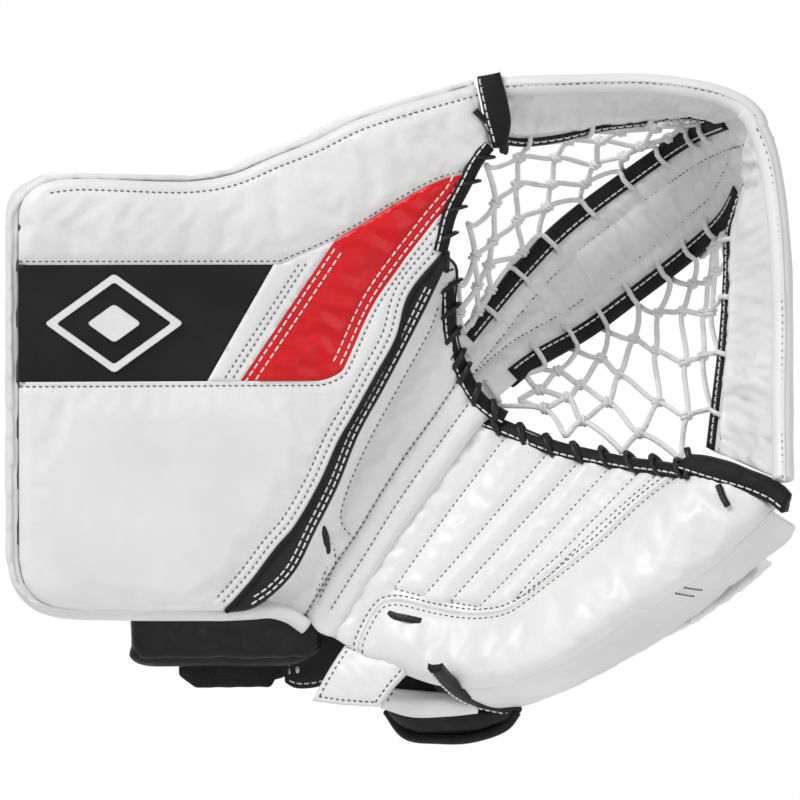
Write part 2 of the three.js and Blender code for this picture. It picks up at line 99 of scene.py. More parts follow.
# ------------------------------------------------------------------ curves
def trace(points, step=2.0):
    """A centripetal Catmull-Rom curve through the points, sampled about every step."""
    p = np.asarray(points, float)
    if len(p) == 2:
        count = max(1, int(round(np.linalg.norm(p[1] - p[0]) / step)))
        return p[0] + (p[1] - p[0]) * np.linspace(0, 1, count + 1)[:, None]
    ends = [2 * p[0] - p[1], *p, 2 * p[-1] - p[-2]]
    out = [p[0]]
    for k in range(len(p) - 1):
        p0, p1, p2, p3 = ends[k:k + 4]
        t1 = np.sqrt(np.linalg.norm(p1 - p0)) + 1e-9
        t2 = t1 + np.sqrt(np.linalg.norm(p2 - p1)) + 1e-9
        t3 = t2 + np.sqrt(np.linalg.norm(p3 - p2)) + 1e-9
        count = max(1, int(round(np.linalg.norm(p2 - p1) / step)))
        for t in np.linspace(t1, t2, count + 1)[1:]:
            a1 = (t1 - t) / t1 * p0 + t / t1 * p1
            a2 = (t2 - t) / (t2 - t1) * p1 + (t - t1) / (t2 - t1) * p2
            a3 = (t3 - t) / (t3 - t2) * p2 + (t - t2) / (t3 - t2) * p3
            b1 = (t2 - t) / t2 * a1 + t / t2 * a2
            b2 = (t3 - t) / (t3 - t1) * a2 + (t - t1) / (t3 - t1) * a3
            out.append((t2 - t) / (t2 - t1) * b1 + (t - t1) / (t2 - t1) * b2)
    return np.array(out)


def closed_trace(sides, step=2.0):
    """One closed outline from sides that are smooth inside and meet at corners."""
    return np.vstack([trace(side, step)[:-1] for side in sides])


def arc_length(line):
    return np.concatenate([[0], np.cumsum(np.linalg.norm(np.diff(line, axis=0), axis=1))])


def resample(line, distances):
    s = arc_length(line)
    return np.column_stack([np.interp(distances, s, line[:, k]) for k in range(line.shape[1])])


def resample_count(points, count):
    line = trace(points)
    return resample(line, np.linspace(0, arc_length(line)[-1], count))


def parallel(line, distance):
    """A flat line moved sideways, to its left for a positive distance."""
    line = np.asarray(line, float)
    t = np.gradient(line, axis=0)
    t /= np.linalg.norm(t, axis=1)[:, None] + 1e-9
    return line + np.reshape(distance, (-1, 1)) * np.column_stack([-t[:, 1], t[:, 0]])


def distance_to(points, lines):
    """The least distance from each flat point to a set of polylines."""
    best = np.full(len(points), 1e9)
    for line in lines:
        a, b = line[:-1], line[1:]
        d = b - a
        length = (d * d).sum(1) + 1e-12
        for k in range(len(a)):
            s = np.clip(((points - a[k]) @ d[k]) / length[k], 0, 1)
            gap = points - a[k] - s[:, None] * d[k]
            best = np.minimum(best, (gap * gap).sum(1))
    return np.sqrt(best)


def ease(x):
    x = np.clip(x, 0, 1)
    return x * x * (3 - 2 * x)


def wrinkle(points, size, stretch=(1, 1), angle=0.0, seed=0, octaves=3):
    """Smooth noise over flat points, from about -1 to 1, drawn out along one direction."""
    c, s = math.cos(math.radians(angle)), math.sin(math.radians(angle))
    u = (points[:, 0] * c + points[:, 1] * s) / (size * stretch[0])
    v = (-points[:, 0] * s + points[:, 1] * c) / (size * stretch[1])
    return np.array([
        noise.fractal(Vector((a, b, seed * 7.3)), 0.6, 2.1, octaves) for a, b in zip(u, v)
    ])


# ------------------------------------------------------------------ surfaces
class Flat:
    """A surface over the x and z of a frame, at a depth that may change over it."""

    def __init__(self, basis, depth):
        self.basis = basis
        self.depth = depth if callable(depth) else (lambda x, z: np.full(len(x), float(depth)))

    def local(self, ab):
        return np.column_stack([ab[:, 0], self.depth(ab[:, 0], ab[:, 1]), ab[:, 1]])

    def __call__(self, ab, height=0.0):
        ab = np.atleast_2d(np.asarray(ab, float))
        e = 0.5
        du = self.local(ab + [e, 0]) - self.local(ab - [e, 0])
        dv = self.local(ab + [0, e]) - self.local(ab - [0, e])
        normal = np.cross(du, dv)
        normal /= np.linalg.norm(normal, axis=1)[:, None]
        points = self.local(ab) + normal * np.reshape(height, (-1, 1))
        return place(self.basis, points)


class Loft:
    """A surface between two edge curves of the crease frame. Its flat coordinates are in
    millimetres: along the curves from 0 to length, and across from 0 to width."""

    def __init__(self, edge_a, edge_b, bow=0.0, rows=48, cols=12, flip=False):
        a, b = resample_count(edge_a, rows), resample_count(edge_b, rows)
        s = np.linspace(0, 1, cols)[None, :, None]
        self.grid = a[:, None, :] * (1 - s) + b[:, None, :] * s
        self.grid[:, :, 1] += bow * 4 * s[:, :, 0] * (1 - s[:, :, 0])
        middle = self.grid[:, cols // 2]
        self.length = arc_length(middle)[-1]
        self.width = float(np.linalg.norm(a - b, axis=1).mean())
        self.sign = -1.0 if flip else 1.0

    def local(self, ab):
        rows, cols = self.grid.shape[:2]
        u = ab[:, 0] / self.length * (rows - 1)
        v = ab[:, 1] / self.width * (cols - 1)
        i = np.clip(np.floor(u).astype(int), 0, rows - 2)
        j = np.clip(np.floor(v).astype(int), 0, cols - 2)
        p, q = (u - i)[:, None], (v - j)[:, None]
        g = self.grid
        return ((g[i, j] * (1 - p) + g[i + 1, j] * p) * (1 - q)
                + (g[i, j + 1] * (1 - p) + g[i + 1, j + 1] * p) * q)

    def __call__(self, ab, height=0.0):
        ab = np.atleast_2d(np.asarray(ab, float))
        e = 1.5
        du = self.local(ab + [e, 0]) - self.local(ab - [e, 0])
        dv = self.local(ab + [0, e]) - self.local(ab - [0, e])
        normal = self.sign * np.cross(du, dv)
        normal /= np.linalg.norm(normal, axis=1)[:, None]
        return place(CREASE, self.local(ab) + normal * np.reshape(height, (-1, 1)))


# ------------------------------------------------------------------ meshes
def make_object(name, points_mm, faces, material, smooth=True):
    mesh = bpy.data.meshes.new(name)
    mesh.from_pydata((np.asarray(points_mm) * MM).tolist(), [], faces)
    mesh.update()
    mesh.materials.append(material)
    mesh.polygons.foreach_set("use_smooth", [smooth] * len(mesh.polygons))
    piece = bpy.data.objects.new(name, mesh)
    bpy.context.scene.collection.objects.link(piece)
    return piece


def fix_normals(piece):
    """Turns the faces of closed shells outward."""
    import bmesh
    work = bmesh.new()
    work.from_mesh(piece.data)
    bmesh.ops.recalc_face_normals(work, faces=work.faces)
    work.to_mesh(piece.data)
    work.free()
    return piece


def fill_points(outline, spacing, extra=()):
    """Points inside an outline: an even triangle grid, and rows of extra ones."""
    low, high = outline.min(0), outline.max(0)
    rows = np.arange(low[1], high[1], spacing * 0.866)
    grid = np.vstack([
        np.column_stack([np.arange(low[0] + spacing * 0.5 * (k % 2), high[0], spacing),
                         np.full(len(np.arange(low[0] + spacing * 0.5 * (k % 2), high[0], spacing)), z)])
        for k, z in enumerate(rows)
    ])
    if len(extra):
        rows_of = np.vstack(extra)
        near = distance_to(grid, [line for line in extra if len(line) > 1])
        grid = np.vstack([grid[near > spacing * 0.55], rows_of])
    inside = points_inside(grid, outline)
    grid = grid[inside]
    closed = np.vstack([outline, outline[:1]])
    return grid[distance_to(grid, [closed]) > spacing * 0.4]


def points_inside(points, outline):
    inside = np.zeros(len(points), bool)
    x, y = points[:, 0], points[:, 1]
    for (x0, y0), (x1, y1) in zip(outline, np.roll(outline, -1, axis=0)):
        crossing = (y0 > y) != (y1 > y)
        if y1 != y0:
            inside ^= crossing & (x < (x1 - x0) * (y - y0) / (y1 - y0) + x0)
    return inside


def drape(points, faces, held, slack, press):
    """Lets a sheet settle as cloth: held points stay, the rest has some slack and a padding
    pressing it outward. The cloth is simulated ten times larger. Returns the new points."""
    grown = 10 * MM
    mesh = bpy.data.meshes.new("drape")
    mesh.from_pydata((points * grown).tolist(), [], [tuple(f) for f in faces])
    sheet = bpy.data.objects.new("drape", mesh)
    bpy.context.scene.collection.objects.link(sheet)
    group = sheet.vertex_groups.new(name="held")
    group.add([int(k) for k in np.flatnonzero(held)], 1.0, "REPLACE")
    cloth = sheet.modifiers.new("cloth", "CLOTH")
    settings = cloth.settings
    settings.quality = 5
    settings.mass = 0.25
    settings.tension_stiffness = 18
    settings.compression_stiffness = 14
    settings.shear_stiffness = 8
    settings.bending_stiffness = 0.35
    settings.air_damping = 6
    settings.shrink_min = -slack
    settings.shrink_max = -slack
    settings.vertex_group_mass = "held"
    settings.use_pressure = press > 0
    settings.uniform_pressure_force = press
    settings.effector_weights.gravity = 0
    cloth.collision_settings.use_collision = False
    scene = bpy.context.scene
    cloth.point_cache.frame_start = 1
    cloth.point_cache.frame_end = DRAPE_FRAMES
    for at in range(1, DRAPE_FRAMES + 1):
        scene.frame_set(at)
    settled = sheet.evaluated_get(bpy.context.evaluated_depsgraph_get()).to_mesh()
    moved = np.empty(len(points) * 3)
    settled.vertices.foreach_get("co", moved)
    moved = moved.reshape(-1, 3) / grown - points
    scene.frame_set(1)
    bpy.data.objects.remove(sheet)
    length = np.linalg.norm(moved, axis=1)[:, None] + 1e-9
    moved = np.nan_to_num(moved)
    return points + moved * np.minimum(1, DRAPE_LIMIT / length)


DRAPE_FRAMES = 14
DRAPE_LIMIT = 2.2


def panel(name, surface, outline, relief, thickness, material, spacing=2.6, seams=(), slack=0.0, press=0.0):
    """A closed sheet over a flat outline: its front follows the surface with a relief on it,
    its back follows the surface, and fine rows of points lie along its seams."""
    rows = []
    for seam in seams:
        for offset in (-2.2, -1.1, 0.0, 1.1, 2.2):
            rows.append(parallel(seam, offset))
    flat = np.vstack([outline, fill_points(outline, spacing, rows)])
    edges = [(k, (k + 1) % len(outline)) for k in range(len(outline))]
    result = geometry.delaunay_2d_cdt([Vector(p) for p in flat], edges, [], 0, 1e-4)
    flat = np.array([tuple(v) for v in result[0]])
    triangles = np.array([tuple(f) for f in result[2]])
    triangles = triangles[points_inside(flat[triangles].mean(1), outline)]
    used_points, triangles = np.unique(triangles, return_inverse=True)
    flat = flat[used_points]
    triangles = [tuple(int(k) for k in f) for f in triangles.reshape(-1, 3)]
    count = len(flat)
    height = relief(flat)
    front = surface(flat, height)
    if slack:
        closed = np.vstack([outline, outline[:1]])
        held = distance_to(flat, [closed, *seams]) < 1.7
        front = drape(front, triangles, held, slack, press)
    back = surface(flat, np.minimum(height - 0.6, -thickness))
    faces = triangles + [tuple(k + count for k in reversed(f)) for f in triangles]
    used = {}
    for f in triangles:
        for a, b in zip(f, f[1:] + f[:1]):
            used[(a, b)] = True
    for a, b in used:
        if (b, a) not in used:
            faces.append((b, a, a + count, b + count))
    return fix_normals(make_object(name, np.vstack([front, back]), faces, material))


def sweep(paths, section, closed_path=False, caps=True):
    """Tubes along world paths in millimetres. section gives the half width and half height
    at each point of a path, or one pair for all. Returns points and faces."""
    points, faces = [], []
    sides = 8
    angles = np.linspace(0, 2 * math.pi, sides, endpoint=False)
    for path in paths:
        path = np.asarray(path, float)
        count = len(path)
        tangent = np.gradient(path, axis=0)
        if closed_path:
            tangent = np.roll(path, -1, axis=0) - np.roll(path, 1, axis=0)
        tangent /= np.linalg.norm(tangent, axis=1)[:, None] + 1e-12
        up = np.array([0.0, -1.0, 0.0])
        if abs(tangent[0] @ up) > 0.9:
            up = np.array([0.0, 0.0, 1.0])
        normal = up - tangent[0] * (tangent[0] @ up)
        normal /= np.linalg.norm(normal)
        size = np.broadcast_to(np.asarray(section, float), (count, 2))
        start = len(points)
        for k in range(count):
            normal = normal - tangent[k] * (tangent[k] @ normal)
            normal /= np.linalg.norm(normal) + 1e-12
            side = np.cross(tangent[k], normal)
            for angle in angles:
                points.append(path[k] + side * size[k, 0] * math.cos(angle)
                              + normal * size[k, 1] * math.sin(angle))
        rings = count if closed_path else count - 1
        for k in range(rings):
            for m in range(sides):
                n = (m + 1) % sides
                a, b = start + k * sides, start + ((k + 1) % count) * sides
                faces.append((a + m, a + n, b + n, b + m))
        if caps and not closed_path:
            faces.append(tuple(start + m for m in reversed(range(sides))))
            faces.append(tuple(start + (count - 1) * sides + m for m in range(sides)))
    return np.array(points), faces


def cord_object(name, paths, section, material, closed_path=False):
    points, faces = sweep(paths, section, closed_path)
    return fix_normals(make_object(name, points, faces, material))


# Short dark dots: with the dark stitch material they paint the shade in the stitch holes of the pale thread.
SHADE_DOT_ROW = (3.0, 1.35)
WHITE_ROW = (4.1, 3.0)


def stitch_paths(surface, line, lift, spacing=SHADE_DOT_ROW):
    """Short raised threads along a flat line of a surface, one after another. With the default spacing they are the
    short dark dots that paint the shade in stitch holes.
    """
    total = arc_length(line)[-1]
    pitch, length = spacing
    starts = np.arange(0.4, total - length, pitch)
    paths = []
    for start in starts:
        s = start + np.array([0, 0.12, 0.5, 0.88, 1]) * length
        flat = resample(line, s)
        base = lift(flat) if callable(lift) else np.full(len(flat), float(lift))
        paths.append(surface(flat, base + np.array([-0.5, 0.12, 0.34, 0.12, -0.5])))
    return paths


# ------------------------------------------------------------------ materials
def node_material(name):
    material = bpy.data.materials.new(name)
    material.use_nodes = True
    nodes = material.node_tree.nodes
    nodes.clear()
    output = nodes.new("ShaderNodeOutputMaterial")
    shader = nodes.new("ShaderNodeBsdfPrincipled")
    material.node_tree.links.new(shader.outputs[0], output.inputs[0])
    return material, shader


class Net:
    """A little helper to wire shader nodes by name."""

    def __init__(self, material):
        self.tree = material.node_tree
        self.where = self.add("ShaderNodeTexCoord").outputs["Object"]

    def add(self, kind, **values):
        node = self.tree.nodes.new(kind)
        for key, value in values.items():
            if hasattr(node, key):
                setattr(node, key, value)
            else:
                node.inputs[key.replace("_", " ")].default_value = value
        return node

    def link(self, source, target):
        self.tree.links.new(source, target)

    def noise(self, scale, detail=4.0, rough=0.55, stretch=None):
        node = self.add("ShaderNodeTexNoise", Scale=scale, Detail=detail, Roughness=rough)
        self.link(self.stretched(stretch), node.inputs["Vector"])
        return node.outputs["Fac"]

    def cells(self, scale, feature="F1", stretch=None):
        node = self.add("ShaderNodeTexVoronoi", Scale=scale)
        node.feature = feature
        self.link(self.stretched(stretch), node.inputs["Vector"])
        return node.outputs["Distance"]

    def stretched(self, stretch):
        if stretch is None:
            return self.where
        node = self.add("ShaderNodeMapping")
        node.inputs["Scale"].default_value = stretch[:3]
        node.inputs["Rotation"].default_value = [math.radians(a) for a in stretch[3:]] or (0, 0, 0)
        self.link(self.where, node.inputs["Vector"])
        return node.outputs[0]

    def ramp(self, source, low, high, stops=(0.3, 0.7)):
        node = self.add("ShaderNodeValToRGB")
        node.color_ramp.elements[0].position = stops[0]
        node.color_ramp.elements[1].position = stops[1]
        node.color_ramp.elements[0].color = low
        node.color_ramp.elements[1].color = high
        self.link(source, node.inputs[0])
        return node.outputs[0]

    def math(self, operation, a, b):
        node = self.add("ShaderNodeMath")
        node.operation = operation
        for socket, value in zip(node.inputs, (a, b)):
            if isinstance(value, (int, float)):
                socket.default_value = value
            else:
                self.link(value, socket)
        return node.outputs[0]

    def bump(self, layers, shader):
        """Bump from (height, strength, distance in metres) layers, one on another."""
        previous = None
        for height, strength, distance in layers:
            node = self.add("ShaderNodeBump", Strength=strength, Distance=distance)
            self.link(height, node.inputs["Height"])
            if previous is not None:
                self.link(previous, node.inputs["Normal"])
            previous = node.outputs[0]
        self.link(previous, shader.inputs["Normal"])


def grey(value, tint=(1, 1, 1)):
    return (value * tint[0], value * tint[1], value * tint[2], 1)


def leather(name, dark, light, roughness, grain=900.0, depth=0.00012, coat=0.0, creases=0.0002,
            specular=0.5):
    """Synthetic leather: pebble grain, soft creases, slight colour and gloss variation."""
    material, shader = node_material(name)
    net = Net(material)
    tone = net.noise(18.0, 5.0)
    net.link(net.ramp(tone, dark, light, (0.35, 0.65)), shader.inputs["Base Color"])
    gloss = net.noise(60.0, 3.0)
    low, high = roughness - 0.06, roughness + 0.08
    net.link(net.ramp(gloss, grey(low), grey(high)), shader.inputs["Roughness"])
    pebble = net.cells(grain)
    fine = net.noise(grain * 2.2, 2.0)
    crease = net.noise(70.0, 6.0, 0.7, (1, 1, 0.45))
    net.bump([(pebble, 0.35, depth), (fine, 0.3, depth * 0.6), (crease, 0.3, creases)], shader)
    shader.inputs["Specular IOR Level"].default_value = specular
    shader.inputs["Coat Weight"].default_value = coat
    shader.inputs["Coat Roughness"].default_value = 0.25
    return material


def woven(name, dark, light, roughness, threads=1400.0, depth=0.00025, sheen=0.2):
    """Woven nylon or brushed textile: crossing threads with a soft sheen."""
    material, shader = node_material(name)
    net = Net(material)
    height = None
    for rotation in (0, 90):
        wave = net.add("ShaderNodeTexWave", Scale=threads / 6.3, Distortion=0.6)
        net.link(net.stretched((1, 1, 1, rotation, 40, rotation)), wave.inputs["Vector"])
        height = wave.outputs["Fac"] if height is None else net.math("MULTIPLY", height, wave.outputs["Fac"])
    tone = net.noise(40.0, 6.0)
    net.link(net.ramp(tone, dark, light, (0.3, 0.7)), shader.inputs["Base Color"])
    net.link(net.ramp(net.noise(220.0, 2.0), grey(roughness - 0.08), grey(min(1, roughness + 0.08))),
             shader.inputs["Roughness"])
    net.bump([(height, 0.7, depth), (net.noise(500.0, 2.0), 0.3, 0.0002)], shader)
    shader.inputs["Specular IOR Level"].default_value = 0.25
    shader.inputs["Sheen Weight"].default_value = sheen
    shader.inputs["Sheen Roughness"].default_value = 0.5
    return material


def braided(name, dark, light, roughness, scale=900.0, depth=0.0003):
    """A braided or twisted cord."""
    material, shader = node_material(name)
    net = Net(material)
    wave = net.add("ShaderNodeTexWave", Scale=scale / 6.3, Distortion=1.5)
    net.link(net.stretched((1, 1, 1, 0, 35, 20)), wave.inputs["Vector"])
    cross = net.add("ShaderNodeTexWave", Scale=scale / 6.3, Distortion=1.5)
    net.link(net.stretched((1, 1, 1, 0, -50, 20)), cross.inputs["Vector"])
    height = net.math("MAXIMUM", wave.outputs["Fac"], cross.outputs["Fac"])
    net.link(net.ramp(net.noise(120.0, 3.0), dark, light), shader.inputs["Base Color"])
    net.link(net.ramp(height, grey(roughness + 0.1), grey(roughness - 0.05)), shader.inputs["Roughness"])
    net.bump([(height, 0.6, depth)], shader)
    return material


def plain(name, dark, light, roughness, scale=200.0, depth=0.0001):
    """Moulded plastic or foam: fine speckle and a faint texture."""
    material, shader = node_material(name)
    net = Net(material)
    net.link(net.ramp(net.noise(scale, 4.0), dark, light), shader.inputs["Base Color"])
    net.link(net.ramp(net.noise(scale * 0.4, 3.0), grey(roughness - 0.05), grey(roughness + 0.06)),
             shader.inputs["Roughness"])
    net.bump([(net.cells(scale * 2), 0.3, depth)], shader)
    return material


WHITE = leather("white_leather", grey(0.80, (1, 1, 0.995)), grey(0.86, (1, 1, 0.995)), 0.42, coat=0.08)
WHITE_SIDE = leather("white_side_leather", grey(0.74), grey(0.82), 0.5, coat=0.05)
RED = leather("red_leather", (0.60, 0.001, 0.004, 1), (0.76, 0.002, 0.007, 1), 0.34, coat=0.1, specular=0.35)
BLACK = leather("black_leather", grey(0.004), grey(0.010), 0.5, grain=500.0, depth=0.0003, coat=0.0, specular=0.28)
BLACK_GLOSS = leather("black_gloss_leather", grey(0.003), grey(0.008), 0.42, coat=0.05, creases=0.00015, specular=0.33)
CHARCOAL = leather("charcoal_leather", grey(0.005), grey(0.013), 0.45, grain=600.0, specular=0.35)
BINDING = woven("black_binding", grey(0.004), grey(0.011), 0.6, threads=2200.0, depth=0.00015, sheen=0.05)
WEBBING = woven("black_webbing", grey(0.005), grey(0.014), 0.75, threads=1100.0, sheen=0.08)
LINING = woven("lining", grey(0.01), grey(0.03), 0.9, threads=1600.0, sheen=0.5)
LACE_WHITE = braided("white_lace", grey(0.72), grey(0.86), 0.6)
LACE_BLACK = braided("black_lace", grey(0.003), grey(0.010), 0.5)
# Painted shade: the real thread is pale, and this near-black colour paints the shade in its stitch holes.
STITCH_HOLE_SHADE = braided("painted_stitch_hole_shade", grey(0.05), grey(0.12), 0.6, scale=2500.0, depth=0.0001)
THREAD_WHITE = braided("white_thread", grey(0.7), grey(0.85), 0.55, scale=2500.0, depth=0.0001)
FOAM = plain("foam", grey(0.05), grey(0.08), 0.9)
PLASTIC = plain("stiffener", grey(0.5), grey(0.6), 0.5)
BADGE = plain("badge_white", grey(0.8), grey(0.86), 0.35)


# ------------------------------------------------------------------ attaching pieces
def fit(piece, body, slot, *nodes):
    """The piece rides on one body and stands for these CAD nodes."""
    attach(piece, body)
    if nodes:
        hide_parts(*nodes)
    return piece


def bend(piece, bodies, start, end, slot, *nodes):
    """Bakes the piece's placement into its mesh and hides these CAD nodes; bodies, start, end and slot are not used."""
    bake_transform(piece)
    if nodes:
        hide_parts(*nodes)
    return piece


# ------------------------------------------------------------------ camera, light and floor
CAMERA_AT = (0.0667, -2.205, 0.0944)
LENS = 202.9
FLOOR_BELOW = 0.30


def build_world():
    """A grey studio with a white band around its horizon."""
    world = bpy.data.worlds.new("studio")
    world.use_nodes = True
    tree = world.node_tree
    direction = tree.nodes.new("ShaderNodeTexCoord")
    split = tree.nodes.new("ShaderNodeSeparateXYZ")
    ramp = tree.nodes.new("ShaderNodeValToRGB")
    ramp.color_ramp.elements[0].position = 0.24
    ramp.color_ramp.elements[0].color = (1.0, 1.0, 1.0, 1)
    ramp.color_ramp.elements[1].position = 0.34
    ramp.color_ramp.elements[1].color = (0.26, 0.26, 0.265, 1)
    low = ramp.color_ramp.elements.new(0.0)
    low.color = (0.55, 0.55, 0.55, 1)
    near = ramp.color_ramp.elements.new(0.04)
    near.color = (1.0, 1.0, 1.0, 1)
    lifted = tree.nodes.new("ShaderNodeMath")
    lifted.operation = "ADD"
    lifted.inputs[1].default_value = 0.14
    tree.links.new(direction.outputs["Generated"], split.inputs[0])
    tree.links.new(split.outputs["Z"], lifted.inputs[0])
    tree.links.new(lifted.outputs[0], ramp.inputs[0])
    tree.links.new(ramp.outputs[0], tree.nodes["Background"].inputs[0])
    tree.nodes["Background"].inputs[1].default_value = 1.0
    return world


def build_stage():
    camera = bpy.data.objects.new("camera", bpy.data.cameras.new("camera"))
    camera.data.lens = LENS
    camera.data.sensor_width = 36.0
    camera.location = CAMERA_AT
    camera.rotation_euler = (math.radians(90), 0, 0)
    bpy.context.scene.collection.objects.link(camera)
    bpy.context.scene.camera = camera
    bpy.context.scene.view_settings.view_transform = "Standard"
    bpy.context.scene.world = build_world()
    lights = [
        ("key_light", (-1.3, -1.3, 1.9), 1.1, 42.0),
        ("fill_light", (1.5, -1.8, 0.3), 1.6, 9.0),
        ("back_light", (0.4, 1.7, 1.5), 1.5, 34.0),
    ]
    for name, location, size, power in lights:
        light = bpy.data.lights.new(name, "AREA")
        light.size = size
        light.energy = power
        lamp = bpy.data.objects.new(name, light)
        lamp.location = location
        lamp.rotation_euler = (Vector((0.07, 0, 0.09)) - Vector(location)).to_track_quat("-Z", "Y").to_euler()
        bpy.context.scene.collection.objects.link(lamp)
    side = 48
    ring = [(0.07 + 0.6 * math.cos(a), 0.6 * math.sin(a), 0) for a in np.linspace(0, 2 * math.pi, side, endpoint=False)]
    mesh = bpy.data.meshes.new("floor")
    mesh.from_pydata(ring, [], [tuple(range(side))])
    floor_material, shader = node_material("floor")
    net = Net(floor_material)
    net.link(net.ramp(net.noise(6.0), grey(0.86), grey(0.9)), shader.inputs["Base Color"])
    shader.inputs["Roughness"].default_value = 0.8
    mesh.materials.append(floor_material)
    floor = bpy.data.objects.new("floor", mesh)
    floor.location.z = CAD_BOX[0][2] - FLOOR_BELOW
    bpy.context.scene.collection.objects.link(floor)


# ------------------------------------------------------------------ thumb and cuff face
FACE_LEFT = -153.0
PANEL_TOP = 182.5
PANEL_BOTTOM = 127.0
SEAM_TOP = [(-153, 200), (-152, 210), (-147.5, 217), (-139, 221.5), (-126, 223), (-70, 222), (-51, 225.5),
            (-32, 233.5), (-13, 241), (6, 250.5), (25, 257), (44, 262.5), (64, 268)]
TIP_EDGE = [(64, 268), (67.5, 252), (72, 238)]
POCKET_EDGE = [(72, 238), (66, 230), (61, 220), (54, 206), (50.5, 192), (49.5, 188)]
PIPING_INNER = [(49.5, 188), (33, 167.5), (27, 147), (17, 128.5), (7, 110.5), (0, 98.5), (-10, 76.5),
                (-22, 56), (-29.5, 47.5), (-42, 31), (-55, 16.5)]
BREAK_EDGE = [(49.5, 188), (49.5, 181), (45, 170), (32, 144), (21, 123), (9, 101), (-1, 76), (-11, 56), (-21, 36),
              (-31, 25), (-42, 17.5), (-55, 15.5)]
SEAM_BOTTOM = [(-55, 16.5), (-105, 17.3), (-134, 19), (-144, 23), (-150.5, 31), (-153, 42)]
RED_TIP = (60.5, 226)
RED_LEFT = [(-48, PANEL_BOTTOM), (-3.2, 193.8)]
RED_RIGHT = [RED_TIP, (55.6, 216.5), (43, 201), (16.5, 165), (3.4, 137), (0.5, 131.5), (-6, 128), (-10, PANEL_BOTTOM)]

face_surface = Flat(FACE, CUFF_FRONT)


def edge_roll(distance, radius, drop):
    """How far a padded edge falls back near its seam."""
    s = np.clip(1 - distance / radius, 0, 1)
    return -drop * (1 - np.sqrt(np.clip(1 - s * s, 0, 1)))


def groove(distance, width, depth):
    """The dent that a line of stitching pulls into soft leather."""
    return -depth * np.exp(-(distance / width) ** 2)


